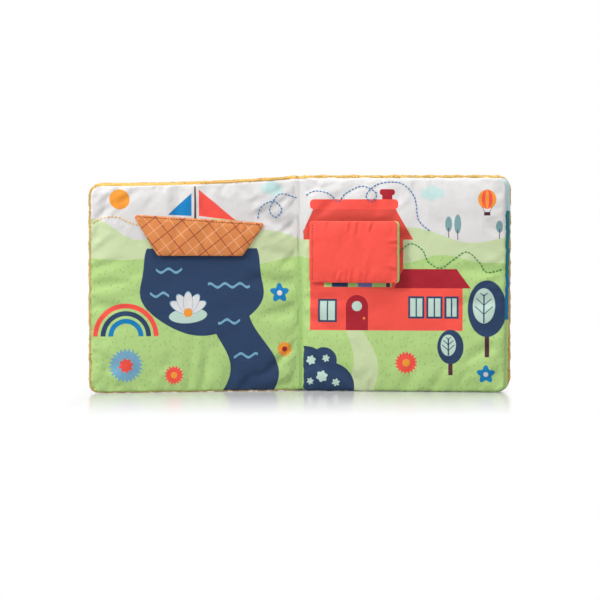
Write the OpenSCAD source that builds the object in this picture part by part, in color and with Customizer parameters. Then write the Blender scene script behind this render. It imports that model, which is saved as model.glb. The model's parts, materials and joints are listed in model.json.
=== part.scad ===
// Padded cloth book that stands open, with two lift flaps.
// Origin: centre of the spine's foot, on the surface the book stands on.
// +X runs to the reader's right, +Y away from the reader, +Z up.

/* [Covers] */
// Width of each cover, from its fold to its outer edge
cover_w = 210; // [185:1:250]
// Height of each cover
cover_h = 215; // [190:1:250]
// Thickness of a padded cover at its middle
cover_t = 8; // [6.5:0.5:12]
// Thickness of a cover along its sewn edge
cover_edge_t = 3.4; // [3:0.1:5]
// Radius of a cover's outer corners
cover_r = 14; // [8:1:24]
// Radius of a cover's corners beside its fold
cover_fold_r = 3; // [2:0.5:6]
// How far the standing front cover's free edge has sunk at its top
front_slump = 7.5; // [0:0.5:12]
// How far in from its edge a cover swells to its full thickness
cover_swell = 46; // [20:1:70]

/* [Cloth] */
// Thickness of the plush with its pile
plush_t = 1.8; // [1.2:0.1:2.4]
// Thickness of the plush where it is turned over the edge
plush_lip_t = 0.8; // [0.5:0.1:1]
// Thickness of the printed cloth
print_t = 0.6; // [0.3:0.1:0.8]
// Plush that shows beside the printed cloth along the top
lip_top = 3.2; // [2.4:0.1:6]
// Plush that shows beside the printed cloth along the bottom
lip_bottom = 1.1; // [0.8:0.1:4]
// Plush that shows beside the printed cloth along the outer edge
lip_outer = 1.6; // [1:0.1:4]
// Plush between the printed cloth and the fold
lip_fold = 0.8; // [0.6:0.1:3]

/* [Leaves] */
// Number of padded leaves between the covers
leaf_count = 2; // [2:1:4]
// Width of a leaf
page_w = 203; // [178:1:240]
// Height of a leaf
page_h = 210.5; // [185:0.5:244]
// Thickness of a leaf at its middle
page_t = 8; // [6:0.5:12]
// Thickness of a leaf along its sewn edge
page_edge_t = 2.6; // [2:0.1:4]
// Radius of a leaf's outer corners
page_r = 8; // [4:0.5:16]
// Radius of a leaf's corners beside the gutter
page_gutter_r = 3; // [2:0.5:6]
// How far in from its edge a leaf swells to its full thickness
page_swell = 38; // [20:1:70]
// Height of the leaves above the surface the book stands on
page_lift = 1; // [0.4:0.1:4]
// How far each leaf reaches out beyond the one before it
leaf_stagger = 2.5; // [0:0.5:4]
// Width of the seam that joins the leaves along the gutter
seam_w = 7; // [4:0.5:12]

/* [Opening] */
// How far the right half is turned towards the reader
right_turn = 7; // [0:0.5:14]
// How far the left half is turned towards the reader
left_turn = 11; // [0:0.5:16]
// Room between the front cover and the first leaf once the book is shut
shut_gap = 11; // [9:0.5:16]
// How far the back cover's fold lies beyond the leaves' gutter edge
fold_reach = 4; // [2:0.5:8]

/* [Spine] */
// How far the plush spine bulges beyond the back cover's fold
spine_bulge = 8; // [6.5:0.5:14]
// Thickness of the spine where it meets the leaves
spine_web_t = 3.2; // [2:0.1:5]
// How much lower the spine is than the covers
spine_drop = 1.5; // [0:0.5:5]

/* [Window flap] */
// Width of the window flap
window_w = 87; // [60:1:110]
// Height of the window flap
window_h = 62; // [40:1:90]
// Thickness of the window flap at its middle
window_t = 4.5; // [3.5:0.1:6]
// Thickness of the window flap along its sewn edge
window_edge_t = 1.8; // [1.4:0.1:2.2]
// Radius of the window flap's corners
window_r = 4; // [2:0.5:8]
// How far in from its edge the window flap swells to its full thickness
window_swell = 15; // [8:1:25]
// Distance of the window flap's sewn edge from the gutter edge of the leaf
window_x = 7.6; // [4:0.1:20]
// Height of the window flap's lower edge above the foot of the leaf
window_z = 107.5; // [80:0.5:120]
// Angle to which the window flap stands open
window_open = 5; // [3:0.5:6]

/* [Plaid flap] */
// Width of the plaid flap along its sewn top edge
plaid_top_w = 127; // [100:1:140]
// Width of the plaid flap along its free lower edge
plaid_low_w = 86; // [60:1:110]
// Height of the plaid flap at its outer side
plaid_h = 38.5; // [30:0.5:50]
// How much lower the plaid flap's top edge lies beside the fold
plaid_tilt = 9; // [0:0.5:12]
// Thickness of the plaid flap at its middle
plaid_t = 3; // [2.4:0.1:3.4]
// Thickness of the plaid flap along its sewn edge
plaid_edge_t = 1.8; // [1.4:0.1:2.2]
// Radius of the plaid flap's corners
plaid_r = 4; // [2:0.5:8]
// How far in from its edge the plaid flap swells to its full thickness
plaid_swell = 8; // [4:0.5:14]
// Distance of the plaid flap from the front cover's fold
plaid_x = 36; // [30:1:60]
// Height of the plaid flap's free edge above the cover's foot
plaid_z = 135; // [110:1:150]
// Angle to which the plaid flap stands open
plaid_open = 2; // [1:0.5:3]

/* [Cloth of the flaps] */
// Thickness of a flap's face cloth
flap_face_t = 0.5; // [0.3:0.1:0.6]
// Width of the face cloth turned over a flap's back
flap_lip = 0.9; // [0.8:0.1:2]

/* [Hidden] */

// Clearance between pieces that move past each other
run_gap = 0.3;
// Clearance between pieces that are sewn together or lie on each other
seat_gap = 0.3;
// Clearance between cloth and the wadding under it
soft_gap = 0.15;
// Gap between neighbouring leaves at their middles
leaf_gap = 0.5;
// How far a lip stands proud beside the lining of a cover, and of a flap
cover_rise = 0.5;
flap_rise = 0.2;

// Segments in each rounded corner and along each side of a panel's outline
corner_steps = 4;
side_steps = 5;
// Rings from the edge to the flat middle of a cover or leaf, and of a flap
panel_rings = 4;
flap_rings = 3;

// Depths are counted from the first leaf's face, away from the reader
stack_depth = leaf_count * page_t + (leaf_count - 1) * leaf_gap;
back_cover_front = stack_depth + leaf_gap;
back_cover_back = back_cover_front + cover_t;
// With the book laid flat, the front cover's back is one spine web ahead of the back cover
front_cover_back = back_cover_front - spine_web_t - seat_gap - run_gap;
gutter_step = front_cover_back - cover_t;
// The front cover's hinge line, ahead of the first leaf's face and clear of its edge
hinge_front = (shut_gap - gutter_step) / 2;
hinge_side = 1;
// Depth of the left page's face behind the hinge line
face_drop = (shut_gap + gutter_step) / 2;

// The front cover's fold edge swings past the spine on this radius; its plush laps over
// towards the spine by half the angle that is left until the book lies flat
fold_swing = face_drop + cover_t;
lap_reach = fold_swing * sin((right_turn + left_turn) / 2);
lap_depth = fold_swing * cos((right_turn + left_turn) / 2);
// The leaves' seam starts clear of that lap
seam_u = max(0, lap_reach - hinge_side + run_gap);

spine_front = front_cover_back + run_gap;
spine_back = back_cover_back - seat_gap;
spine_r = (spine_back - spine_front) / 2;
spine_inner = -(fold_reach + seat_gap);
spine_u = spine_inner - spine_bulge + spine_r;
spine_v = (spine_front + spine_back) / 2;

// The window flap's middle plane lies ahead of the leaf so that its swell clears it
window_off = window_t / 2 - window_swell * tan(window_open) + seat_gap;
// The plaid flap's middle plane lies ahead of the left page in the same way
plaid_off = plaid_t / 2 - plaid_swell * tan(plaid_open) + seat_gap;

plush_yellow = [0.98, 0.76, 0.35];
print_green = [0.69, 0.83, 0.5];
print_teal = [0.12, 0.52, 0.56];
flap_red = [0.98, 0.33, 0.28];
plaid_brown = [0.82, 0.5, 0.28];
wadding_white = [0.95, 0.95, 0.93];

// Unit vector
function unit(v) = v / norm(v);

// Arc that rounds the corner at b between its neighbours a and c
function corner(a, b, c, r) =
    let (to_a = unit(a - b), to_c = unit(c - b), half = acos(to_a * to_c) / 2)
    let (centre = b + unit(to_a + to_c) * r / sin(half))
    let (start = b + to_a * r / tan(half) - centre, first = atan2(start[1], start[0]))
    [for (i = [0 : corner_steps])
        let (a_i = first + (180 - 2 * half) * i / corner_steps)
        centre + r * [cos(a_i), sin(a_i)]];

// Outline of a panel: corners taken round once, each with its radius, sides cut in steps
function rounded(corners, radii) =
    let (n = len(corners))
    let (arcs = [for (i = [0 : n - 1])
        corner(corners[(i + n - 1) % n], corners[i], corners[(i + 1) % n], radii[i])])
    [for (i = [0 : n - 1]) let (arc = arcs[i], far = arcs[(i + 1) % n][0], last = arc[corner_steps])
        each concat(arc, [for (k = [1 : side_steps - 1]) last + (far - last) * k / side_steps])];

// Ring of a panel: its outline drawn in by d and set at depth y.
// A pinned panel keeps its side at the lowest x where it is, because it is sewn there.
function ring(outline, d, y, pinned = false) =
    let (xs = [for (p = outline) p[0]], zs = [for (p = outline) p[1]])
    let (x0 = min(xs), x1 = max(xs), z0 = min(zs), z1 = max(zs))
    let (cx = pinned ? x0 : (x0 + x1) / 2, hx = pinned ? x1 - x0 : (x1 - x0) / 2)
    let (cz = (z0 + z1) / 2, hz = (z1 - z0) / 2)
    [for (p = outline) [cx + (p[0] - cx) * (1 - d / hx), y, cz + (p[1] - cz) * (1 - d / hz)]];

// Swell of a padded panel from 0 at its edge to 1 at its full thickness
function swell(t) = sqrt(1 - pow(1 - t, 2));

// Rings of one side of a panel, from its edge at depth y0 to its middle at depth y1
function side_rings(outline, reach, y0, y1, steps, pinned) =
    [for (i = [0 : steps]) let (t = pow(i / steps, 2))
        ring(outline, reach * t, y0 + (y1 - y0) * swell(t), pinned)];

function reversed(list) = [for (i = [len(list) - 1 : -1 : 0]) list[i]];

// Middle of a ring, as the mean of its lowest and highest corners
function middle(r) =
    [for (k = [0 : 2]) let (v = [for (p = r) p[k]]) (min(v) + max(v)) / 2];

// Solid lofted through rings of equal length, closed by a fan at its first and last ring
module loft(rings) {
    n = len(rings[0]);
    last = (len(rings) - 1) * n;
    front = len(rings) * n;
    back = front + 1;
    polyhedron(
        points = concat([for (r = rings) each r], [middle(rings[0]), middle(rings[len(rings) - 1])]),
        faces = concat(
            [for (i = [0 : n - 1]) [front, (i + 1) % n, i]],
            [for (j = [0 : len(rings) - 2], i = [0 : n - 1])
                let (a = j * n + i, b = j * n + (i + 1) % n)
                each [[a, b, b + n], [a, b + n, a + n]]],
            [for (i = [0 : n - 1]) [back, last + i, last + (i + 1) % n]]
        )
    );
}

// Padded panel in one piece, with its middle plane at depth 0
module pad(outline, t, edge_t, reach, steps, pinned = false) {
    loft(concat(
        reversed(side_rings(outline, reach, -edge_t / 2, -t / 2, steps, pinned)),
        side_rings(outline, reach, edge_t / 2, t / 2, steps, pinned)
    ));
}

// Outer cloth of a padded panel: its back, its edge and a lip turned over to the front
module outer_cloth(outer, hollow, opening, t, edge_t, cloth_t, lip_t, rise, reach, steps, pinned) {
    loft(concat(
        reversed(side_rings(hollow, reach, (edge_t - cloth_t) / 2, t / 2 - cloth_t, steps, pinned)),
        [ring(hollow, 0, lip_t - edge_t / 2, pinned),
            ring(opening, 0, lip_t - edge_t / 2 - rise, pinned),
            ring(opening, 0, -edge_t / 2 - rise, pinned),
            ring(outer, 0, -edge_t / 2, pinned)],
        side_rings(outer, reach, edge_t / 2, t / 2, steps, pinned)
    ));
}

// Wadding that fills a panel between its outer cloth and its lining
module wadding(outline, t, edge_t, cloth_t, lip_t, reach, steps, pinned) {
    front = print_t + 2 * soft_gap - t / 2;
    back = t / 2 - cloth_t - soft_gap;
    loft(concat(
        reversed(side_rings(outline, reach, lip_t + soft_gap - edge_t / 2, front, steps, pinned)),
        side_rings(outline, reach, (edge_t - cloth_t) / 2 - soft_gap, back, steps, pinned)
    ));
}

// Printed cloth that closes the front of a panel inside its lip
module lining(outline, t, edge_t, rise, reach, steps, pinned) {
    edge = -edge_t / 2 - rise;
    loft(concat(
        reversed(side_rings(outline, reach, edge, -t / 2, steps, pinned)),
        side_rings(outline, reach, edge + print_t, print_t - t / 2, steps, pinned)
    ));
}

// Outline of a cover drawn in by its own distance on each side, with its free top edge sunk
function cover_outline(fold, low, outer, top, slump) =
    let (x1 = cover_w - outer, z1 = cover_h - top)
    rounded(
        [[fold, low], [x1, low], [x1, z1 - slump * x1 / cover_w], [fold, z1 - slump * fold / cover_w]],
        [cover_fold_r, cover_r - low, cover_r - top, cover_fold_r]
    );

// Printed cloth's outline on a cover, grown by a gap
function cover_print(gap, slump) =
    cover_outline(lip_fold - gap, lip_bottom - gap, lip_outer - gap, lip_top - gap, slump);

module cover_plush(slump) {
    outer_cloth(cover_outline(0, 0, 0, 0, slump),
        cover_outline(plush_t, plush_t, plush_t, plush_t, slump),
        cover_print(seat_gap / 2, slump),
        cover_t, cover_edge_t, plush_t, plush_lip_t, cover_rise, cover_swell, panel_rings, true);
}

module cover_wadding(slump) {
    inset = plush_t + soft_gap;
    wadding(cover_outline(inset, inset, inset, inset, slump),
        cover_t, cover_edge_t, plush_t, plush_lip_t, cover_swell * 1.1, panel_rings, true);
}

module cover_lining(slump) {
    lining(cover_print(0, slump), cover_t, cover_edge_t, cover_rise, cover_swell, panel_rings, true);
}

// Outline of the window flap drawn in on every side
function window_outline(d) =
    rounded([[d, d], [window_w - d, d], [window_w - d, window_h - d], [d, window_h - d]],
        [for (i = [0 : 3]) window_r - d]);

// Outline of the plaid flap, wide at its sewn top edge, drawn in on every side
function plaid_outline(d) =
    let (side = (plaid_top_w - plaid_low_w) / 2, slant = plaid_tilt / plaid_top_w)
    rounded([[side + d, d], [plaid_top_w - side - d, d],
        [plaid_top_w - 1.5 * d, plaid_h - d], [1.5 * d, plaid_h - plaid_tilt - d + slant * d]],
        [for (i = [0 : 3]) plaid_r - d]);

// Places a part of the right half, by its distance from the gutter and its depth
module on_right(u, v) {
    rotate([0, 0, -right_turn]) translate([u - spine_u, v - spine_v, 0]) children();
}

// Places a part of the front cover, by its distance and depth from the hinge line
module on_front(x, y) {
    rotate([0, 0, -right_turn]) translate([-hinge_side - spine_u, -hinge_front - spine_v, 0])
        rotate([0, 0, right_turn]) mirror([1, 0, 0]) rotate([0, 0, -left_turn])
            translate([x, y, 0]) children();
}

module on_back_cover() {
    on_right(-fold_reach, back_cover_front + cover_t / 2) children();
}

module on_front_cover() {
    on_front(0, face_drop + cover_t / 2) children();
}

// The window flap is turned over, so that its face cloth looks at the reader
module on_window() {
    on_right(window_x, -window_off) rotate([0, 0, -window_open]) translate([0, 0, page_lift + window_z])
        mirror([0, 1, 0]) children();
}

module on_plaid() {
    on_front(plaid_x, face_drop - plaid_off) translate([0, 0, plaid_z + plaid_h])
        rotate([-plaid_open, 0, 0]) translate([0, 0, -plaid_h]) mirror([0, 1, 0]) children();
}

// Half-round plush roll behind the gutter, with a web that reaches in to the leaves
module spine() {
    color(plush_yellow) linear_extrude(cover_h - spine_drop)
        rotate(-right_turn) translate([-spine_u, -spine_v]) {
            intersection() {
                translate([spine_u, spine_v]) circle(r = spine_r, $fn = 48);
                translate([spine_u - spine_r, spine_front]) square([spine_r, 2 * spine_r]);
            }
            translate([spine_u, spine_front]) square([spine_inner - spine_u, 2 * spine_r]);
            translate([spine_u, spine_front])
                square([seam_u - seat_gap - spine_u, back_cover_front - seat_gap - spine_front]);
        }
}

// Padded leaves and the seam that joins them along the gutter
module pages() {
    seam_front = (page_t - page_edge_t) / 2;
    color(print_green) {
        for (i = [0 : leaf_count - 1])
            on_right(i * leaf_stagger, i * (page_t + leaf_gap) + page_t / 2) translate([0, 0, page_lift])
                pad(rounded([[0, 0], [page_w, 0], [page_w, page_h], [0, page_h]],
                    [page_gutter_r, page_r, page_r, page_gutter_r]),
                    page_t, page_edge_t, page_swell, panel_rings);
        on_right(seam_u, seam_front) translate([0, 0, page_lift + page_gutter_r])
            cube([seam_w, stack_depth - 2 * seam_front, page_h - 2 * page_gutter_r]);
    }
}

module window_flap_face() {
    color(flap_red) on_window()
        outer_cloth(window_outline(0), window_outline(flap_face_t),
            window_outline(flap_lip - seat_gap / 2), window_t, window_edge_t, flap_face_t,
            flap_face_t, flap_rise, window_swell, flap_rings, false);
}

module window_flap_wadding() {
    color(wadding_white) on_window()
        wadding(window_outline(flap_face_t + soft_gap), window_t, window_edge_t, flap_face_t,
            flap_face_t, window_swell * 1.1, flap_rings, false);
}

module window_flap_lining() {
    color(print_green) on_window()
        lining(window_outline(flap_lip), window_t, window_edge_t, flap_rise, window_swell,
            flap_rings, false);
}

// The front cover's plush runs on past its fold as a short lap towards the spine
module front_cover_plush() {
    color(plush_yellow) {
        on_front_cover() cover_plush(front_slump);
        on_front(-lap_reach, lap_depth - plush_lip_t) translate([0, 0, cover_r])
            cube([lap_reach + plush_t, plush_lip_t, cover_h - 2 * cover_r]);
    }
}

module front_cover_wadding() {
    color(wadding_white) on_front_cover() cover_wadding(front_slump);
}

module front_cover_lining() {
    color(print_green) on_front_cover() cover_lining(front_slump);
}

module plaid_flap_face() {
    color(plaid_brown) on_plaid()
        outer_cloth(plaid_outline(0), plaid_outline(flap_face_t), plaid_outline(flap_lip - seat_gap / 2),
            plaid_t, plaid_edge_t, flap_face_t, flap_face_t, flap_rise, plaid_swell, flap_rings, false);
}

module plaid_flap_wadding() {
    color(wadding_white) on_plaid()
        wadding(plaid_outline(flap_face_t + soft_gap), plaid_t, plaid_edge_t, flap_face_t,
            flap_face_t, plaid_swell * 1.1, flap_rings, false);
}

module plaid_flap_lining() {
    color(plaid_brown) on_plaid()
        lining(plaid_outline(flap_lip), plaid_t, plaid_edge_t, flap_rise, plaid_swell,
            flap_rings, false);
}

module back_cover_plush() {
    color(plush_yellow) on_back_cover() cover_plush(0);
}

module back_cover_wadding() {
    color(wadding_white) on_back_cover() cover_wadding(0);
}

module back_cover_lining() {
    color(print_teal) on_back_cover() cover_lining(0);
}

spine();
pages();
window_flap_face();
window_flap_wadding();
window_flap_lining();
front_cover_plush();
front_cover_wadding();
front_cover_lining();
plaid_flap_face();
plaid_flap_wadding();
plaid_flap_lining();
back_cover_plush();
back_cover_wadding();
back_cover_lining();
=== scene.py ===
"""Looks of a padded cloth book that stands open: printed cloth, plush, flaps and sewn threads."""

import json
import math

import bpy
import numpy as np
from bpy.props import FloatProperty, FloatVectorProperty, IntProperty, PointerProperty
from mathutils import Matrix, Vector
from mathutils.bvhtree import BVHTree


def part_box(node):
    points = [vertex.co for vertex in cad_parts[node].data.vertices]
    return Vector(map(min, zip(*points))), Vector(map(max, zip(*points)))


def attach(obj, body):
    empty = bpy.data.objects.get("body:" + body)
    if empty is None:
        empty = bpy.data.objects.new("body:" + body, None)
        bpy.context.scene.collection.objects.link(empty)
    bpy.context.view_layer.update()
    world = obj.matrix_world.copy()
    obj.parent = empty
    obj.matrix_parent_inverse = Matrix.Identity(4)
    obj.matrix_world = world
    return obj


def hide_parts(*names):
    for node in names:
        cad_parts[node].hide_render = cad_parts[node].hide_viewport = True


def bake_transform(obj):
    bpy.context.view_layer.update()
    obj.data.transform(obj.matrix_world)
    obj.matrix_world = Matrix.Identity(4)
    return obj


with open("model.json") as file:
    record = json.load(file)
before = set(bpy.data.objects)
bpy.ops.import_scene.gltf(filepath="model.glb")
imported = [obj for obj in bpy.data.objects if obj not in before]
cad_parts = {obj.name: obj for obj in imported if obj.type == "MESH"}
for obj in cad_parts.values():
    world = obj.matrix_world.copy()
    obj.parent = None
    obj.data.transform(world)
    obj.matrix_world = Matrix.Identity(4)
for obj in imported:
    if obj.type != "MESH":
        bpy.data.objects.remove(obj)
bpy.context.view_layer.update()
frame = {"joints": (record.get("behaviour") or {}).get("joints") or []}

bl_info = {
    "name": "Padded cloth book",
    "version": (1, 0, 0),
    "blender": (4, 5, 0),
    "location": "View3D > Sidebar > Cloth book",
    "description": "Builds the printed cloth, plush, flaps and threads of a padded cloth book",
    "category": "Object",
}

MM = 0.001
TUFT_TALL = 1.3 * MM
TUFT_WIDE = 0.62 * MM
SKIN = 1.3 * MM  # room for the tufts outside a cover's skin
PAGE_BACK = 2.1 * MM  # depth of a page's closed back behind the plush surface
SEAM_WAVE = 0.42 * MM  # how far a gathered seam runs in and out
INK_EDGE = 0.35  # width of the soft edge of a printed shape, in millimetres
PLY = 0.9  # length of one turn of a thread's plies, in millimetres
HINGES = {j["name"]: Vector(j["pos_m"]) for j in frame["joints"]}


def srgb(red, green, blue):
    """Linear colour of a colour given as 0 to 255 on a screen."""
    def linear(c):
        c = c / 255
        return c / 12.92 if c <= 0.04045 else ((c + 0.055) / 1.055) ** 2.4
    return (linear(red), linear(green), linear(blue))


def length(name, description, millimetres, low=0.0):
    return FloatProperty(name=name, description=description, default=millimetres * MM,
                         min=low, unit="LENGTH", precision=4)


def colour(name, description, red, green, blue):
    return FloatVectorProperty(name=name, description=description, subtype="COLOR", size=3,
                               default=srgb(red, green, blue), min=0.0, max=1.0)


class BookSizes(bpy.types.PropertyGroup):
    """Sizes of the dressed book, which follow the solids under it."""
    right_turn: FloatProperty(name="Right turn", description="Turn of the right half to the reader",
                              default=math.radians(7), subtype="ANGLE")
    left_turn: FloatProperty(name="Left turn", description="Turn of the left half to the reader",
                             default=math.radians(11), subtype="ANGLE")
    hinge_side: length("Hinge side", "Hinge line beside the leaves' gutter edge", 1)
    hinge_front: length("Hinge front", "Hinge line ahead of the first leaf's face", 2.9)
    face_drop: length("Face drop", "Depth of the left page behind the hinge line", 8.1)
    cover_w: length("Cover width", "Width of a cover", 210)
    cover_h: length("Cover height", "Height of a cover", 215)
    cover_t: length("Cover thickness", "Thickness of a padded cover", 8)
    cover_r: length("Cover corner", "Radius of a cover's outer corners", 14)
    front_slump: length("Slump", "How far the front cover's free top corner has sunk", 7.5)
    leaf_w: length("Leaf width", "Width of a leaf", 203)
    leaf_h: length("Leaf height", "Height of a leaf", 210.5)
    leaf_t: length("Leaf thickness", "Thickness of a padded leaf", 8)
    leaf_r: length("Leaf corner", "Radius of a leaf's outer corners", 8)
    leaf_lift: length("Leaf lift", "Height of the leaves above the floor", 1)
    leaf_gap: length("Leaf gap", "Gap between neighbouring leaves", 0.5)
    leaf_stagger: length("Leaf stagger", "How far the second leaf reaches beyond the first", 2.5)
    fold_reach: length("Fold reach", "Back cover's fold beyond the leaves' gutter edge", 4)
    window_w: length("Window width", "Width of the window flap", 87)
    window_h: length("Window height", "Height of the window flap", 62)
    window_t: length("Window thickness", "Thickness of the window flap", 4.5)
    window_x: length("Window side", "Window flap from the leaf's gutter edge", 7.6)
    window_z: length("Window foot", "Window flap's lower edge above the leaf's foot", 107.5)
    window_off: length("Window depth", "Window flap's middle plane ahead of the leaf", 1.24)
    window_open: FloatProperty(name="Window opening", description="Angle of the window flap",
                               default=math.radians(5), subtype="ANGLE")
    plaid_top_w: length("Plaid top", "Width of the plaid flap along its sewn edge", 127)
    plaid_low_w: length("Plaid foot", "Width of the plaid flap along its free edge", 86)
    plaid_h: length("Plaid height", "Height of the plaid flap at its outer side", 38.5)
    plaid_tilt: length("Plaid tilt", "Fall of the plaid flap's top edge to the fold", 9)
    plaid_t: length("Plaid thickness", "Thickness of the plaid flap", 3)
    plaid_x: length("Plaid side", "Plaid flap from the front cover's fold", 36)
    plaid_z: length("Plaid foot height", "Plaid flap's free edge above the foot", 135)
    plaid_off: length("Plaid depth", "Plaid flap's middle plane ahead of the page", 1.52)
    plaid_open: FloatProperty(name="Plaid opening", description="Angle of the plaid flap",
                              default=math.radians(2), subtype="ANGLE")
    cell: length("Cloth cell", "Size of one cell of the cloth meshes", 2.3, 0.001)
    pile_count: IntProperty(name="Pile", description="Tufts of plush on a cover", default=41000)
    thread_r: length("Thread radius", "Radius of the sewing thread", 0.55)


class BookColours(bpy.types.PropertyGroup):
    """Colours of the cloths and prints."""
    plush: colour("Plush", "Yellow plush", 255, 224, 138)
    # deeper plush: partly painted shade between the loops and at the tufts' roots, partly deeper patches of
    # the plush's tone
    plush_deep_and_shade: colour("Plush root", "Plush between its tufts", 253, 186, 80)
    sky: colour("Sky", "Pale sky of the prints", 227, 225, 224)
    far_hill: colour("Far hill", "Pale green hill", 207, 223, 174)
    field: colour("Field", "Green field", 183, 217, 135)
    blade: colour("Blade", "Small dark dashes on the field", 120, 168, 96)
    coral: colour("Coral", "Coral red", 252, 84, 72)
    dark_red: colour("Dark red", "Dark red", 172, 22, 42)
    navy: colour("Navy", "Navy blue", 36, 62, 98)
    mint: colour("Mint", "Mint green", 196, 222, 210)
    pale_blue: colour("Pale blue", "Light blue", 122, 174, 204)
    blue: colour("Blue", "Strong blue", 0, 128, 192)
    orange: colour("Orange", "Orange", 250, 158, 52)
    brown: colour("Brown", "Dark brown", 74, 34, 48)
    teal: colour("Teal", "Teal of the last page", 30, 132, 142)
    plaid: colour("Plaid", "Ground of the plaid cloth", 222, 137, 77)
    plaid_dark: colour("Plaid dark line", "Maroon line of the plaid", 146, 48, 44)
    plaid_light: colour("Plaid light line", "Light line of the plaid", 242, 178, 130)


def sizes():
    return bpy.context.scene.book_sizes


def colours():
    return bpy.context.scene.book_colours


# Meshes -------------------------------------------------------------------------------------


def panel_frame(origin, turn, lean=0.0):
    """Own axes of a panel: x to the reader's right, y away from the reader, z up."""
    return Matrix.Translation(origin) @ Matrix.Rotation(turn, 4, "Z") @ Matrix.Rotation(lean, 4, "X")


def on_right(across, deep, up, turn=0.0):
    """Frame on the right half, counted from the first leaf's gutter edge, face and the floor."""
    s = sizes()
    axes = Matrix.Rotation(-s.right_turn, 4, "Z")
    hinge = HINGES["front_cover_hinge"].xy.to_3d()
    start = hinge + axes @ Vector((s.hinge_side + across, s.hinge_front + deep, up))
    return panel_frame(start, -s.right_turn - turn)


def on_left(across, deep, up, lean=0.0):
    """Frame on the left half, counted from the front cover's outer edge, hinge line and the floor."""
    s = sizes()
    axes = Matrix.Rotation(s.left_turn, 4, "Z")
    hinge = HINGES["front_cover_hinge"].xy.to_3d()
    start = hinge + axes @ Vector((across - s.cover_w, deep, up))
    return panel_frame(start, s.left_turn, lean)


def moved(matrix, points):
    m = np.array(matrix)
    return points @ m[:3, :3].T + m[:3, 3]


def resampled(line, count):
    """Points at equal steps along a line."""
    steps = np.linalg.norm(np.diff(line, axis=0), axis=1)
    run = np.concatenate([[0], np.cumsum(steps)])
    at = np.linspace(0, run[-1], count)
    return np.stack([np.interp(at, run, line[:, k]) for k in range(line.shape[1])], axis=1)


def corner_arc(before, corner, after, radius, steps=12):
    """Arc that rounds a corner between its neighbours."""
    to_a = (before - corner) / np.linalg.norm(before - corner)
    to_c = (after - corner) / np.linalg.norm(after - corner)
    half = math.acos(float(to_a @ to_c)) / 2
    bisector = (to_a + to_c) / np.linalg.norm(to_a + to_c)
    centre = corner + bisector * radius / math.sin(half)
    start = corner + to_a * radius / math.tan(half) - centre
    first = math.atan2(start[1], start[0])
    angles = first + (math.pi - 2 * half) * np.linspace(0, 1, 2 * steps + 1)
    return centre + radius * np.stack([np.cos(angles), np.sin(angles)], axis=1)


class Outline:
    """Outline of a panel with four rounded corners, taken round from its low left corner."""

    def __init__(self, corners, radii, cell, counts=None):
        corners = np.array(corners, float)
        self.corners, self.radii = corners, radii
        arcs = [corner_arc(corners[k - 1], corners[k], corners[(k + 1) % 4], radii[k]) for k in range(4)]
        middle = len(arcs[0]) // 2
        lines = []
        for k in range(4):
            lines.append(np.concatenate([arcs[k][middle:], arcs[(k + 1) % 4][:middle + 1]]))
        spans = [np.linalg.norm(np.diff(line, axis=0), axis=1).sum() for line in lines]
        wide, high = counts or (round(spans[0] / cell), round(spans[1] / cell))
        self.counts = (wide, high)
        self.sides = [resampled(line, (wide, high)[k % 2] + 1) for k, line in enumerate(lines)]
        self.loop = np.concatenate([side[:-1] for side in self.sides])

    def grid(self):
        """Points of a mesh that fills the outline, row by row from the bottom."""
        low, right = self.sides[0], self.sides[1]
        top, left = self.sides[2][::-1], self.sides[3][::-1]
        s = np.linspace(0, 1, len(low))[None, :, None]
        t = np.linspace(0, 1, len(right))[:, None, None]
        ruled = (1 - t) * low[None] + t * top[None] + (1 - s) * left[:, None] + s * right[:, None]
        bent = ((1 - s) * (1 - t) * low[0] + s * (1 - t) * low[-1]
                + (1 - s) * t * top[0] + s * t * top[-1])
        return (ruled - bent).reshape(-1, 2)

    def border(self):
        """Numbers of the grid's border points, in the order of the loop."""
        wide, high = self.counts
        row = wide + 1
        return np.concatenate([
            np.arange(wide), np.arange(high) * row + wide,
            high * row + wide - np.arange(wide), (high - np.arange(high)) * row])

    def near(self, points, without=()):
        """Distance of each point to the outline, and its place along it."""
        best = np.full(len(points), 1e9)
        place = np.zeros(len(points))
        run = 0.0
        for k, side in enumerate(self.sides):
            for start, end in zip(side[:-1], side[1:]):
                along = end - start
                span = np.linalg.norm(along)
                if k not in without:
                    t = np.clip((points - start) @ along / span ** 2, 0, 1)
                    gap = np.linalg.norm(points - start - t[:, None] * along, axis=1)
                    closer = gap < best
                    best[closer] = gap[closer]
                    place[closer] = (run + t * span)[closer]
                run += span
        self.perimeter = run
        return best, place


def grid_faces(wide, high, first=0, flipped=False):
    i = np.arange(wide)[None, :]
    j = np.arange(high)[:, None]
    a = (first + j * (wide + 1) + i).ravel()
    faces = np.stack([a, a + 1, a + wide + 2, a + wide + 1], axis=1)
    return faces[:, ::-1] if flipped else faces


def strip_faces(one, two):
    """Faces between two closed loops of point numbers."""
    return np.stack([one, two, np.roll(two, -1), np.roll(one, -1)], axis=1)


def made(name, points, faces, flat=None, material=(), kinds=None):
    """Mesh object of points and faces, with flat places on the cloth and kinds of material."""
    mesh = bpy.data.meshes.new(name)
    mesh.from_pydata(points.tolist(), [], [list(map(int, f)) for f in faces])
    for m in material:
        mesh.materials.append(m)
    if kinds is not None:
        mesh.polygons.foreach_set("material_index", np.array(kinds, np.int32))
    mesh.polygons.foreach_set("use_smooth", np.ones(len(mesh.polygons), bool))
    if flat is not None:
        corners = np.zeros(len(mesh.loops), np.int32)
        mesh.loops.foreach_get("vertex_index", corners)
        layer = mesh.uv_layers.new(name="flat")
        layer.data.foreach_set("uv", flat[corners].astype(np.float32).ravel())
    mesh.update()
    piece = bpy.data.objects.new(name, mesh)
    bpy.context.scene.collection.objects.link(piece)
    return piece


def swell(share):
    """Swell of padding from 0 at a seam to 1 at its full thickness."""
    t = np.clip(share, 0, 1)
    return np.sqrt(1 - (1 - t) ** 2)


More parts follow.
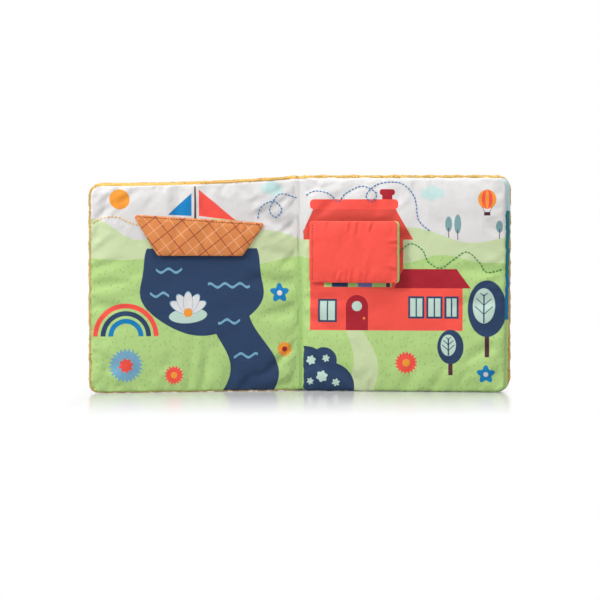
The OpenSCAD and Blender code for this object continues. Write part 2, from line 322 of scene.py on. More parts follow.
def rolling(points, rng, longest, shortest, waves=14):
    """Soft random relief of height about 1, with waves between two lengths."""
    out = np.zeros(len(points))
    for _ in range(waves):
        size = math.exp(rng.uniform(math.log(shortest), math.log(longest)))
        angle, phase = rng.uniform(0, math.pi), rng.uniform(0, 2 * math.pi)
        way = np.array([math.cos(angle), math.sin(angle)]) * 2 * math.pi / size
        out += np.sin(points @ way + phase)
    return out / math.sqrt(waves)


def puckers(gap, place, perimeter, rng, spacing, height, reach):
    """Little gathers that run in from a seam, over the distance from it and the place along it."""
    out = np.zeros(len(gap))
    at = rng.uniform(0, spacing)
    while at < perimeter:
        wide = rng.uniform(0.12, 0.3) * spacing
        deep = reach * rng.uniform(0.4, 1.3)
        slant = rng.uniform(-0.45, 0.45)
        high = height * rng.uniform(0.15, 1.0) * rng.choice([-1, 1, 1])
        off = np.abs(place + slant * gap - at)
        off = np.minimum(off, perimeter - off)
        rise = np.minimum(gap / (0.12 * reach), 1)
        out += high * rise * np.exp(-(off / wide) ** 2 - (gap / deep) ** 2)
        at += spacing * rng.uniform(0.5, 1.6)
    return out


def crease(points, start, end, height, wide):
    """One fold of cloth along a line, high on one flank and hollow on the other."""
    start, end = np.array(start) * MM, np.array(end) * MM
    along = end - start
    span = np.linalg.norm(along)
    along = along / span
    t = (points - start) @ along / span
    off = (points - start) @ np.array([-along[1], along[0]])
    off = off - 0.05 * span * np.sin(3.5 * t)
    ends = np.clip(np.minimum(t, 1 - t) * 2.6, 0, 1)
    shape = np.exp(-(off / wide) ** 2) - 0.7 * np.exp(-((off - 1.5 * wide) / wide) ** 2)
    return height * shape * ends * ends * (3 - 2 * ends)


def softened(field, rounds):
    """Heights on a grid smoothed a number of times, its border kept."""
    out = field.copy()
    for _ in range(rounds):
        mean = (out[:-2, 1:-1] + out[2:, 1:-1] + out[1:-1, :-2] + out[1:-1, 2:]) / 4
        out[1:-1, 1:-1] = (out[1:-1, 1:-1] + mean) / 2
    return out


def simulated(outline, pressure, spare, seed, bend=0.1, frames=24):
    """Heights of a cloth sewn down along its outline that is a little larger than the seam."""
    places = outline.grid()
    wide, high = outline.counts
    rng = np.random.default_rng(seed)
    start = 0.15 * MM * rng.normal(size=len(places))
    start[outline.border()] = 0
    cloth_piece = made("cloth_in_work", np.stack([places[:, 0], -start, places[:, 1]], axis=1),
                       grid_faces(wide, high))
    seam = cloth_piece.vertex_groups.new(name="seam")
    seam.add([int(k) for k in outline.border()], 1.0, "REPLACE")
    cloth = cloth_piece.modifiers.new("cloth", "CLOTH")
    settings = cloth.settings
    settings.quality = 6
    settings.mass = 0.15
    settings.tension_stiffness = settings.compression_stiffness = 12
    settings.shear_stiffness = 4
    settings.bending_stiffness = bend
    settings.tension_damping = settings.compression_damping = 8
    settings.air_damping = 4
    settings.vertex_group_mass = "seam"
    settings.shrink_min = settings.shrink_max = -spare
    settings.use_pressure = True
    settings.uniform_pressure_force = pressure
    settings.effector_weights.gravity = 0
    cloth.collision_settings.use_collision = False
    cloth.point_cache.frame_start, cloth.point_cache.frame_end = 1, frames
    for frame_number in range(1, frames + 1):
        bpy.context.scene.frame_set(frame_number)
    settled = cloth_piece.evaluated_get(bpy.context.evaluated_depsgraph_get())
    points = np.zeros(len(places) * 3)
    settled.data.vertices.foreach_get("co", points)
    bpy.data.objects.remove(cloth_piece)
    bpy.context.scene.frame_set(1)
    return -points.reshape(-1, 3)[:, 1].reshape(high + 1, wide + 1)


def wrinkles(corners, radii, outline, cell=3 * MM, pressure=8.0, spare=0.03, seed=1, broad=60):
    """Wrinkles of a simulated cloth on an outline's own grid, without the billow they lie on."""
    coarse = Outline(corners, radii, cell)
    height = simulated(coarse, pressure, spare, seed)
    fine = softened(height - softened(height, broad), 1)
    wide, high = outline.counts
    s = np.linspace(0, coarse.counts[0], wide + 1)
    t = np.linspace(0, coarse.counts[1], high + 1)
    rows = np.stack([np.interp(s, np.arange(coarse.counts[0] + 1), row) for row in fine])
    both = np.stack([np.interp(t, np.arange(coarse.counts[1] + 1), column) for column in rows.T], axis=1)
    return softened(both, 2).ravel()


def near_line(points, line):
    """Distance of each point to the nearest of a line's points."""
    best = np.full(len(points), 1e9)
    for p in line:
        best = np.minimum(best, np.linalg.norm(points - p, axis=1))
    return best


# Shaders ------------------------------------------------------------------------------------


class Value:
    """A shader socket that carries a number, with sums written as plain expressions."""

    def __init__(self, shade, socket):
        self.shade = shade
        self.socket = socket

    def math(self, operation, *others):
        links = {k: v for k, v in enumerate((self,) + others)}
        node = self.shade.node("ShaderNodeMath", {"operation": operation}, links)
        return Value(self.shade, node.outputs[0])

    def back(self, operation, other):
        node = self.shade.node("ShaderNodeMath", {"operation": operation}, {0: other, 1: self})
        return Value(self.shade, node.outputs[0])

    def __add__(self, other):
        return self.math("ADD", other)

    def __sub__(self, other):
        return self.math("SUBTRACT", other)

    def __mul__(self, other):
        return self.math("MULTIPLY", other)

    def __truediv__(self, other):
        return self.math("DIVIDE", other)

    def __pow__(self, other):
        return self.math("POWER", other)

    def __mod__(self, other):
        return self.math("FLOORED_MODULO", other)

    def __radd__(self, other):
        return self.back("ADD", other)

    def __rsub__(self, other):
        return self.back("SUBTRACT", other)

    def __rmul__(self, other):
        return self.back("MULTIPLY", other)

    def __rtruediv__(self, other):
        return self.back("DIVIDE", other)

    def __abs__(self):
        return self.math("ABSOLUTE")

    def __neg__(self):
        return 0 - self


class Shade:
    """Material whose nodes are added one at a time."""

    def __init__(self, name, world=None):
        self.material = world or bpy.data.materials.new(name)
        self.material.use_nodes = True
        self.tree = self.material.node_tree
        self.tree.nodes.clear()

    def node(self, kind, settings=None, values=None):
        """Adds a node: its settings first, then the values or links of its sockets."""
        node = self.tree.nodes.new(kind)
        for key, value in (settings or {}).items():
            setattr(node, key, value)
        for key, value in (values or {}).items():
            named = [s for s in node.inputs if s.identifier == key]
            socket = node.inputs[key] if isinstance(key, int) else (named or [node.inputs.get(key)])[0]
            source = getattr(value, "socket", value)
            if isinstance(source, bpy.types.NodeSocket):
                self.tree.links.new(source, socket)
            elif isinstance(source, tuple) and socket.type == "RGBA":
                socket.default_value = (*source[:3], 1.0)
            else:
                socket.default_value = source
        return node

    def value(self, node, output=0):
        return Value(self, node.outputs[output])

    def mixed(self, share, one, two):
        """Colour one with colour two laid over it by a share."""
        node = self.node("ShaderNodeMix", {"data_type": "RGBA"},
                         {"Factor_Float": share, "A_Color": one, "B_Color": two})
        return [s for s in node.outputs if s.identifier == "Result_Color"][0]

    def flat(self, layer="flat"):
        """Place on the flat cloth in millimetres, across and up."""
        place = self.node("ShaderNodeUVMap", {"uv_map": layer})
        parts = self.node("ShaderNodeSeparateXYZ", None, {0: place.outputs[0]})
        return self.value(parts, 0) * 1000, self.value(parts, 1) * 1000

    def point(self, x, y):
        return self.node("ShaderNodeCombineXYZ", None, {0: x, 1: y}).outputs[0]

    def noise(self, vector, scale, detail=2.0, rough=0.5):
        node = self.node("ShaderNodeTexNoise", None,
                         {"Vector": vector, "Scale": scale, "Detail": detail, "Roughness": rough})
        return self.value(node, 0)

    def bump(self, height, strength, distance):
        node = self.node("ShaderNodeBump", None,
                         {"Height": height, "Strength": strength, "Distance": distance})
        return node.outputs[0]

    def finish(self, colour, rough, normal=None, **constants):
        """Ends the material in one shader."""
        values = {"Base Color": colour, "Roughness": rough}
        if normal is not None:
            values["Normal"] = normal
        values.update(constants)
        shader = self.node("ShaderNodeBsdfPrincipled", None, values)
        self.node("ShaderNodeOutputMaterial", None, {"Surface": shader.outputs[0]})
        return self.material


def least(one, two):
    return one.math("MINIMUM", two)


def most(one, two):
    return one.math("MAXIMUM", two)


def wave(value):
    return value.math("SINE")


def reach(x, y):
    return (x * x + y * y).math("SQRT")


def disc(x, y, cx, cy, radius):
    """Distance outside a disc, in millimetres."""
    return reach(x - cx, y - cy) - radius


def oval(x, y, cx, cy, rx, ry, turn=0.0):
    dx, dy = x - cx, y - cy
    c, s = math.cos(math.radians(turn)), math.sin(math.radians(turn))
    return (reach((dx * c + dy * s) / rx, (dy * c - dx * s) / ry) - 1) * min(rx, ry)


def block(x, y, x0, y0, x1, y1, soft=0.0):
    """Distance outside an upright rectangle, its corners rounded."""
    wide = abs(x - (x0 + x1) / 2) - ((x1 - x0) / 2 - soft)
    high = abs(y - (y0 + y1) / 2) - ((y1 - y0) / 2 - soft)
    if not soft:
        return most(wide, high)
    outside = reach(most(wide, 0.0), most(high, 0.0))
    return outside + least(most(wide, high), 0.0) - soft


def polygon(x, y, *corners):
    """Distance outside a convex shape whose corners run against the clock."""
    out = None
    for (x0, y0), (x1, y1) in zip(corners, corners[1:] + corners[:1]):
        span = math.hypot(x1 - x0, y1 - y0)
        side = x * ((y1 - y0) / span) - y * ((x1 - x0) / span)
        side = side - (x0 * (y1 - y0) - y0 * (x1 - x0)) / span
        out = side if out is None else most(out, side)
    return out


def blossom(x, y, cx, cy, radius, petals, depth, turn=0.0):
    """Distance outside a round shape with a toothed or petalled rim."""
    dx, dy = x - cx, y - cy
    angle = dy.math("ARCTAN2", dx)
    return reach(dx, dy) - (wave(angle * petals + turn) * depth + radius)


def ring(distance, wide):
    """Turns a filled shape into a band along its rim."""
    return abs(distance) - wide / 2


def printed(distance):
    """Ink inside a shape: 1 inside, 0 outside, over a thin soft edge."""
    return (0.5 - distance / INK_EDGE).math("MINIMUM", 1.0).math("MAXIMUM", 0.0)


class Print:
    """Colours printed on cloth one over another."""

    def __init__(self, shade, base):
        self.shade = shade
        self.x, self.y = shade.flat()
        self.colour = tuple(base)

    def ink(self, distance, colour, strength=1.0):
        share = printed(distance)
        if strength < 1:
            share = share * strength
        self.colour = self.shade.mixed(share, self.colour, tuple(colour))

    def land(self, height, *waves):
        """Distance above a rolling skyline."""
        line = self.y - height
        for size, span, start in waves:
            line = line - wave(self.x * (2 * math.pi / span) + start) * size
        return line

    def flower(self, cx, cy, radius, petals, depth, colour, eye, eye_colour):
        """A round flower and its eye."""
        self.ink(blossom(self.x, self.y, cx, cy, radius, petals, depth), colour)
        self.ink(disc(self.x, self.y, cx, cy, eye), eye_colour)

    def blades(self, inside, colour, strength=0.5):
        """Small upright dashes scattered over a field."""
        place = self.shade.point(self.x / 5.0, self.y / 10.0)
        cells = self.shade.node("ShaderNodeTexVoronoi", {"voronoi_dimensions": "2D"},
                                {"Vector": place, "Scale": 1.0, "Randomness": 1.0})
        dash = (0.14 - self.shade.value(cells, 0)) * 14
        dash = dash.math("MINIMUM", 1.0).math("MAXIMUM", 0.0)
        share = dash * printed(inside) * strength
        self.colour = self.shade.mixed(share, self.colour, tuple(colour))

    def finish(self, weave=0.42, gloss=0.62):
        """Cloth under the print: a fine weave, small crumples and a faint unevenness of the ink."""
        shade, x, y = self.shade, self.x, self.y
        place = shade.point(x, y)
        worn = shade.noise(place, 0.035, 3.0) * 0.10 + 0.95
        grain = shade.noise(place, 1.7, 2.0) * 0.06 + 0.97
        tone = worn * grain
        shaded = shade.node("ShaderNodeVectorMath", {"operation": "SCALE"},
                            {0: self.colour, "Scale": tone})
        fine, long = 1 / weave, 0.12 / weave
        threads = (shade.noise(shade.point(x * fine, y * long), 1.0, 1.0)
                   + shade.noise(shade.point(x * long, y * fine), 1.0, 1.0))
        crumple = shade.noise(place, 0.16, 4.0, 0.55)
        normal = shade.bump(threads * 0.12 + crumple, 0.6, 1.0 * MM)
        rough = shade.noise(place, 0.4) * 0.12 + gloss
        return shade.finish(shaded.outputs[0], rough, normal, **{
            "Specular IOR Level": 0.3, "Sheen Weight": 0.12, "Sheen Roughness": 0.5})


def plush_cloth(name="plush_pile"):
    """Short yellow plush of little loops, with painted shade between the loops and at the tufts' roots, so
    paler at their tips, and deeper patches of tone.
    """
    c = colours()
    shade = Shade(name)
    tone, tip = shade.flat("nap")
    tone, tip = tone / 1000, tip / 1000
    where = shade.node("ShaderNodeTexCoord").outputs["Object"]
    brushed = shade.noise(where, 45, 3.0, 0.6)
    clumps = shade.noise(where, 330, 2.0, 0.6)
    loops = shade.node("ShaderNodeTexVoronoi", None, {"Vector": where, "Scale": 640.0})
    loop = 1.0 - shade.value(loops, 0) * 1.25
    # painted shade: the deeper colour falls between the loops and at the tufts' roots; clumps, brushing and
    # each tuft's tone vary the plush at random
    share = loop * 0.55 + clumps * 0.9 + brushed * 0.5 + tip * 0.35 + tone * 0.2 - 0.4
    share = share.math("MINIMUM", 1.0).math("MAXIMUM", 0.0)
    colour = shade.mixed(share, tuple(c.plush_deep_and_shade), tuple(c.plush))
    normal = shade.bump(loop * 0.7 + clumps, 0.8, 0.9 * MM)
    return shade.finish(colour, 0.92, normal, **{
        "Specular IOR Level": 0.1, "Sheen Weight": 0.5, "Sheen Roughness": 0.35})


THREADS = {
    "yellow": (255, 206, 104), "blue": (30, 122, 190), "green": (26, 138, 60),
    "red": (176, 30, 36), "brown": (120, 62, 44), "pale": (226, 206, 170),
}


def thread_cloth(name, tint):
    """Twisted sewing thread, with painted shade in the grooves between its plies."""
    shade = Shade(name)
    along, around = shade.flat()
    ply = wave(along * (2 * math.pi / PLY) + around * (2 * math.pi)) * 0.5 + 0.5
    # painted shade: the tint darkened where the plies meet in the twist's grooves
    ply_groove_shade = 0.78
    dark = tuple(k * ply_groove_shade for k in tint)
    colour = shade.mixed(ply, dark, tuple(tint))
    normal = shade.bump(ply, 0.6, 0.15 * MM)
    return shade.finish(colour, 0.55, normal, **{"Sheen Weight": 0.2, "Specular IOR Level": 0.4})


# Padded panels ------------------------------------------------------------------------------


class Shell:
    """Closed skin of a panel in its own axes, put together from a grid, loops and a fan."""

    def __init__(self):
        self.points, self.flat, self.faces, self.kinds = [], [], [], []
        self.total = 0

    def add(self, across, deep, up, flat=None):
        across, up = np.asarray(across, float), np.asarray(up, float)
        deep = np.broadcast_to(np.asarray(deep, float), across.shape)
        self.points.append(np.stack([across, deep, up], axis=1))
        self.flat.append(np.stack([across, up], axis=1) if flat is None else flat)
        first = self.total
        self.total += len(across)
        return np.arange(first, self.total)

    def cover(self, faces, kind=0):
        self.faces.extend(faces.tolist())
        self.kinds.extend([kind] * len(faces))

    def grid(self, outline, places, deep, flipped=False):
        numbers = self.add(places[:, 0], deep, places[:, 1])
        self.cover(grid_faces(*outline.counts, first=numbers[0], flipped=flipped))
        return numbers[outline.border()]

    def strips(self, *loops, kind=0):
        for one, two in zip(loops[:-1], loops[1:]):
            self.cover(strip_faces(one, two), kind)

    def fan(self, loop, across, deep, up, flipped=False):
        centre = self.add([across], [deep], [up])[0]
        pairs = np.stack([np.full(len(loop), centre), loop, np.roll(loop, -1)], axis=1)
        self.cover(pairs[:, ::-1] if flipped else pairs)

    def build(self, name, frame_matrix, material, uneven=0.0, seed=1, box=None, sag=0.0):
        points = np.concatenate(self.points)
        if uneven:
            points = wavering(points, uneven, seed, box, sag)
        points = moved(frame_matrix, points)
        points[:, 2] = np.maximum(points[:, 2], 0.0)
        return made(name, points, self.faces, np.concatenate(self.flat), material, self.kinds)


def wavering(points, high, seed, box, sag=0.0):
    """Edges of a panel pulled in and out where the seam gathers the cloth, its top edge hollow."""
    rng = np.random.default_rng(seed)
    low, top = box if box is not None else (points.min(0), points.max(0))
    out = points.copy()
    for axis, other in ((0, 2), (2, 0)):
        wave_sum = np.zeros(len(points))
        for span, share in ((31, 0.9), (17, 0.6), (11, 0.7), (7, 0.5)):
            wave_sum += share * np.sin(points[:, other] * 2 * math.pi / (span * MM)
                                       + rng.uniform(0, 6.3) + 2 * np.sin(points[:, other] * 41))
        ends = (np.exp(-(top[axis] - points[:, axis]) / (5 * MM))
                - np.exp(-(points[:, axis] - low[axis]) / (5 * MM)))
        out[:, axis] += high * wave_sum * ends / 1.5
    if sag:
        across = np.clip((points[:, 0] - low[0]) / (top[0] - low[0]), 0, 1)
        up = np.clip((points[:, 2] - low[2]) / (top[2] - low[2]), 0, 1)
        out[:, 2] -= sag * np.sin(math.pi * across) ** 0.7 * up ** 3
    return out


def outward(loop, distance):
    """Loop of points moved out from its middle, square to its own line."""
    along = np.roll(loop, -1, axis=0) - np.roll(loop, 1, axis=0)
    along = along / np.linalg.norm(along, axis=1)[:, None]
    return loop + distance * np.stack([along[:, 1], -along[:, 0]], axis=1)


def drawn(loop, share):
    """Loop of points drawn towards its middle by a share."""
    middle = (loop.min(0) + loop.max(0)) / 2
    return loop + (middle - loop) * share


def cover_corners(fold_left, low, outer, top, fold, slump):
    """Corners and radii of a cover or its print, drawn in on each side."""
    s = sizes()
    near, far = (fold, s.cover_w - outer) if fold_left else (outer, s.cover_w - fold)
    tops = []
    for at in (near, far):
        out = at if fold_left else s.cover_w - at
        tops.append(s.cover_h - top - slump * out / s.cover_w)
    corners = [(near, low), (far, low), (far, tops[1]), (near, tops[0])]
    small = 3 * MM
    radii = [small, s.cover_r - low, s.cover_r - top, small]
    if not fold_left:
        radii = [0.7 * s.cover_r - low, small, small, s.cover_r - top]
    return corners, radii


class Cover:
    """Shape of a padded cover: its plush outside and the printed cloth in its turned lip."""

    edge_t, reach, rise = 3.4 * MM, 46 * MM, 0.5 * MM
    lip_top, lip_low, lip_fold = 3.2 * MM, 1.1 * MM, 0.8 * MM

    def __init__(self, fold_left, slump, axes, lip_outer):
        self.lip_outer = lip_outer
        self.fold_side = 3 if fold_left else 1
        self.fold_left, self.slump, self.axes = fold_left, slump, axes
        self.sag = 0.35 * slump

    def half(self, outline, places):
        """Half thickness over places on the cover, full along its fold."""
        gap, place = outline.near(places, without=(self.fold_side,))
        t = sizes().cover_t
        return self.edge_t / 2 + (t - self.edge_t) / 2 * swell(gap / self.reach), gap, place

    ease, ease_reach = 2.6 * MM, 22 * MM

    def eased(self, places):
        """How far the back draws in towards the spine, to leave room when the cover leans back."""
        if self.fold_left:
            return np.zeros(len(places))
        near = np.clip(1 - (sizes().cover_w - places[:, 0]) / self.ease_reach, 0, 1)
        return self.ease * (0.5 - 0.5 * np.cos(math.pi * near))

    def print_outline(self, cell):
        corners, radii = cover_corners(self.fold_left, self.lip_low, self.lip_outer, self.lip_top,
                                       self.lip_fold, self.slump)
        return Outline(corners, radii, cell)

    def plush(self, name, material):
        s = sizes()
        corners, radii = cover_corners(self.fold_left, 0, 0, 0, 0, self.slump)
        outer = Outline(corners, radii, 3 * MM)
        corners, radii = cover_corners(self.fold_left, self.lip_low, self.lip_outer, self.lip_top,
                                       self.lip_fold, self.slump)
        inner = Outline(corners, radii, 3 * MM, outer.counts)
        shell = Shell()
        places = outer.grid()
        half, gap, _ = self.half(outer, places)
        rng = np.random.default_rng(5)
        sag = (0.6 * rolling(places, rng, 90 * MM, 28 * MM) + 0.2).clip(-0.35, 1.2) * MM
        sag = sag * np.clip(gap / (24 * MM), 0, 1)
        back = shell.grid(outer, places, half - SKIN + sag - self.eased(places), flipped=True)
        edge, _, _ = self.half(outer, outer.loop)
        loop = outward(outer.loop, -1.5 * MM)
        lip = edge + self.rise * (s.cover_t / 2 - edge) / (s.cover_t / 2 - self.edge_t / 2)
        tuck = shell.add(*self.at(outward(inner.loop, -0.6 * MM), 0.3 * MM - edge))
        mouth = shell.add(*self.at(outward(inner.loop, 0.1 * MM), 0.4 * MM - lip))
        brow = shell.add(*self.at(0.45 * inner.loop + 0.55 * outer.loop, 0.3 * MM - lip))
        front = shell.add(*self.at(outward(loop, 0.2 * MM), 0.7 * MM - edge))
        rim = shell.add(*self.at(outward(loop, 0.5 * MM), -0.3 * edge))
        crest = shell.add(*self.at(outward(loop, 0.5 * MM), 0.2 * edge))
        shell.strips(tuck, mouth, brow, front, rim, crest, back)
        last, lining = tuck, SKIN + 0.6 * MM
        for share in (0.012, 0.03, 0.1, 0.25, 0.55):
            ring_points = drawn(inner.loop, share)
            ring_half, _, _ = self.half(outer, ring_points)
            deep = ring_half - lining - self.eased(ring_points)
            deep = deep if share > 0.02 else 0 * ring_half
            number = shell.add(*self.at(ring_points, deep))
            shell.strips(number, last)
            last = number
        middle = (inner.loop.min(0) + inner.loop.max(0)) / 2
        shell.fan(last, middle[0], s.cover_t / 2 - lining, middle[1])
        return shell.build(name, self.axes, [material], self.uneven, 7, self.box(), self.sag)

    uneven = SEAM_WAVE

    def box(self):
        s = sizes()
        return np.array([0, 0, 0]), np.array([s.cover_w, 0, s.cover_h])

    @staticmethod
    def at(loop, deep):
        return loop[:, 0], deep, loop[:, 1]

    def page(self, name, material, cell, relief):
        """Printed cloth on its wadding, closed at the back where the plush covers it."""
        s = sizes()
        outline = self.print_outline(cell)
        places = outline.grid()
        half, gap, place = self.half(outline, places)
        low = self.edge_t / 2 + self.rise
        share = (half - self.edge_t / 2) / (s.cover_t / 2 - self.edge_t / 2)
        front = low + (s.cover_t / 2 - low) * share
        shell = Shell()
        fold = np.abs(places[:, 0] - (0.0 if self.fold_left else s.cover_w))
        rise = relief(outline, places, gap, place) * np.clip((fold - self.lip_fold) / (6 * MM), 0, 1)
        border = shell.grid(outline, places, -front - rise)
        edge = front[outline.border()]
        tuck = shell.add(*self.at(outward(outline.loop, -0.2 * MM), 0.6 * MM - edge))
        shell.strips(border, tuck)
        last = tuck
        for part in (0.03, 0.1, 0.25, 0.55):
            ring_points = drawn(outline.loop, part)
            ring_half, _, _ = self.half(outline, ring_points)
            deep = ring_half - PAGE_BACK - self.eased(ring_points)
            number = shell.add(*self.at(ring_points, deep))
            shell.strips(last, number)
            last = number
        middle = (outline.loop.min(0) + outline.loop.max(0)) / 2
        shell.fan(last, middle[0], s.cover_t / 2 - PAGE_BACK, middle[1], flipped=True)
        self.surface = (outline, places)
        return shell.build(name, self.axes, [material], self.uneven, 7, self.box(), self.sag)


def pad(name, outline, axes, thick, edge_t, reach_in, materials, front, back, seam=0.5 * MM, seed=3):
    """Padded panel of two cloths sewn together along their edges."""
    shell = Shell()
    places = outline.grid()
    gap, place = outline.near(places)
    half = edge_t / 2 + (thick - edge_t) / 2 * swell(gap / reach_in)
    near_seam = outline.border()
    one = shell.grid(outline, places, -half - front(outline, places, gap, place))
    sewn = shell.add(*Cover.at(outward(outline.loop, seam), 0.0))
    behind = outline.grid()
    first = shell.add(behind[:, 0], half + back(outline, places, gap, place), behind[:, 1])
    shell.cover(grid_faces(*outline.counts, first=first[0], flipped=True), 1)
    two = first[near_seam]
    shell.strips(one, sewn)
    shell.strips(sewn, two, kind=1)
    return shell.build(name, axes, materials, SEAM_WAVE, seed)


# Threads and pile ---------------------------------------------------------------------------


def skin_of(*pieces):
    """Search tree over the outer faces of some pieces."""
    points, faces = [], []
    for piece in pieces:
        first = len(points)
        points.extend([piece.matrix_world @ v.co for v in piece.data.vertices])
        faces.extend([[first + k for k in f.vertices] for f in piece.data.polygons])
    return BVHTree.FromPolygons(points, faces)


def curve_points(knots, step=0.5 * MM):
    """Smooth line through knots given in millimetres, as points a step apart."""
    p = np.array(knots, float) * MM
    p = np.concatenate([[2 * p[0] - p[1]], p, [2 * p[-1] - p[-2]]])
    out = []
    for a, b, c, d in zip(p[:-3], p[1:-2], p[2:-1], p[3:]):
        t = np.linspace(0, 1, max(int(np.linalg.norm(c - b) / step), 2), endpoint=False)[:, None]
        out.append(0.5 * (2 * b + (c - a) * t + (2 * a - 5 * b + 4 * c - d) * t ** 2
                          + (3 * b - a - 3 * c + d) * t ** 3))
    out.append(p[-2:-1])
    return np.concatenate(out)


def stitches(name, line, axes, skin, material, length_each=2.3 * MM, gap=1.3 * MM, radius=None,
             side=1.0):
    """Running stitches along a line on a panel, each one a bowed piece of thread."""
    s = sizes()
    radius = radius or s.thread_r
    inverse = axes.to_3x3()
    toward = inverse @ Vector((0, -side, 0))
    steps = np.linalg.norm(np.diff(line, axis=0), axis=1)
    run = np.concatenate([[0], np.cumsum(steps)])
    count = max(int(run[-1] / (length_each + gap)), 1)
    pitch = run[-1] / count
    points, faces, flat = [], [], []
    rings, around, outside = 7, 7, 30 * MM
    for k in range(count):
        at = k * pitch + np.linspace(0, pitch * length_each / (length_each + gap), rings)
        across = np.interp(at, run, line[:, 0])
        up = np.interp(at, run, line[:, 1])
        path = []
        for x, z, share in zip(across, up, np.linspace(-1, 1, rings)):
            start = axes @ Vector((x, -side * outside, z))
            hit = skin.ray_cast(start, -toward)[0]
            if hit is None:
                continue
            path.append(hit + toward * radius * (0.75 - 1.5 * share ** 4))
        if len(path) < rings:
            continue
        first = len(points)
        for i, p in enumerate(path):
            ahead = (path[min(i + 1, rings - 1)] - path[max(i - 1, 0)]).normalized()
            side_way = ahead.cross(toward).normalized()
            rise = side_way.cross(ahead)
            end = abs(2 * i / (rings - 1) - 1)
            wide = radius * (0.55 if end > 0.99 else 1.0)
            for j in range(around):
                turn = 2 * math.pi * j / around
                points.append(p + (side_way * math.cos(turn) + rise * math.sin(turn)) * wide)
                flat.append((at[i], j / around * MM))
        for i in range(rings - 1):
            for j in range(around):
                a, b = first + i * around + j, first + i * around + (j + 1) % around
                faces.append((a, b, b + around, a + around))
        faces.append(tuple(first + j for j in reversed(range(around))))
        faces.append(tuple(first + (rings - 1) * around + j for j in range(around)))
    piece = made(name, np.array([tuple(p) for p in points]), faces, np.array(flat), [material])
    return piece


def add_pile(piece, count, tall, wide, seed, keep=None, lean=(0.0, 0.0, -0.35), apart=None):
    """Grows tufts of plush out of a piece's own faces, joined to its mesh or as a piece apart."""
    mesh = piece.data
    rng = np.random.default_rng(seed)
    co = np.zeros(len(mesh.vertices) * 3)
    mesh.vertices.foreach_get("co", co)
    co = co.reshape(-1, 3)
    mesh.calc_loop_triangles()
    tri = np.zeros(len(mesh.loop_triangles) * 3, np.int32)
    mesh.loop_triangles.foreach_get("vertices", tri)
    tri = tri.reshape(-1, 3)
    a, b, c = co[tri[:, 0]], co[tri[:, 1]], co[tri[:, 2]]
    normal = np.cross(b - a, c - a)
    area = np.linalg.norm(normal, axis=1)
    normal = normal / np.maximum(area, 1e-15)[:, None]
    middle = (a + b + c) / 3
    weight = area * (keep(middle, normal) if keep else 1.0)
    share = np.cumsum(weight) / weight.sum()
    # Picks at even steps over the faces keep the tufts from clumping
    picks = (np.arange(count) + rng.uniform(0, 1, count)) / count
    face = np.searchsorted(share, picks)
    face = np.minimum(face, len(tri) - 1)
    r1, r2 = rng.uniform(0, 1, count), rng.uniform(0, 1, count)
    flip = r1 + r2 > 1
    r1[flip], r2[flip] = 1 - r1[flip], 1 - r2[flip]
    base = a[face] + r1[:, None] * (b - a)[face] + r2[:, None] * (c - a)[face]
    up = normal[face]
    ruffled, sunk, floor_gap = 0.28, 0.25 * MM, 0.05 * MM
    way = up + np.array(lean) + rng.normal(0, ruffled, (count, 3))
    way = way / np.linalg.norm(way, axis=1)[:, None]
    high = tall * rng.uniform(0.7, 1.15, count)[:, None]
    other = np.cross(up, [0.31, 0.52, 0.79])
    other = other / np.linalg.norm(other, axis=1)[:, None]
    third = np.cross(up, other)
    spin = rng.uniform(0, 2 * math.pi, count)
    corners = []
    root = base - up * sunk
    for k in range(3):
        turn = (spin + 2 * math.pi * k / 3)[:, None]
        corners.append(root + wide * (np.cos(turn) * other + np.sin(turn) * third))
    tip = base + way * high
    tufts = np.stack(corners + [tip], axis=1)
    tufts = tufts[tufts[:, :, 2].min(axis=1) > floor_gap]
    count = len(tufts)
    tufts = tufts.reshape(-1, 3)
    co = co[:0] if apart else co
    first = len(co)
    n = first + 4 * np.arange(count)
    made_faces = np.concatenate([
        np.stack([n, n + 1, n + 3], 1), np.stack([n + 1, n + 2, n + 3], 1),
        np.stack([n + 2, n, n + 3], 1), np.stack([n, n + 2, n + 1], 1)])
    old_faces = [] if apart else [list(p.vertices) for p in mesh.polygons]
    nap = np.zeros((first + 4 * count, 2))
    nap[first:, 0] = np.repeat(rng.uniform(0, 1, count), 4)
    nap[first:, 1] = np.tile([0, 0, 0, 1], count)
    joined = bpy.data.meshes.new(apart or piece.name)
    joined.from_pydata(np.concatenate([co, tufts]).tolist(), [], old_faces + made_faces.tolist())
    for m in mesh.materials:
        joined.materials.append(m)
    joined.polygons.foreach_set("use_smooth", np.ones(len(joined.polygons), bool))
    corner = np.zeros(len(joined.loops), np.int32)
    joined.loops.foreach_get("vertex_index", corner)
    layer = joined.uv_layers.new(name="nap")
    layer.data.foreach_set("uv", nap[corner].astype(np.float32).ravel())
    joined.update()
    if apart:
        piece = bpy.data.objects.new(apart, joined)
        bpy.context.scene.collection.objects.link(piece)
    piece.data = joined
    return piece


# Prints -------------------------------------------------------------------------------------


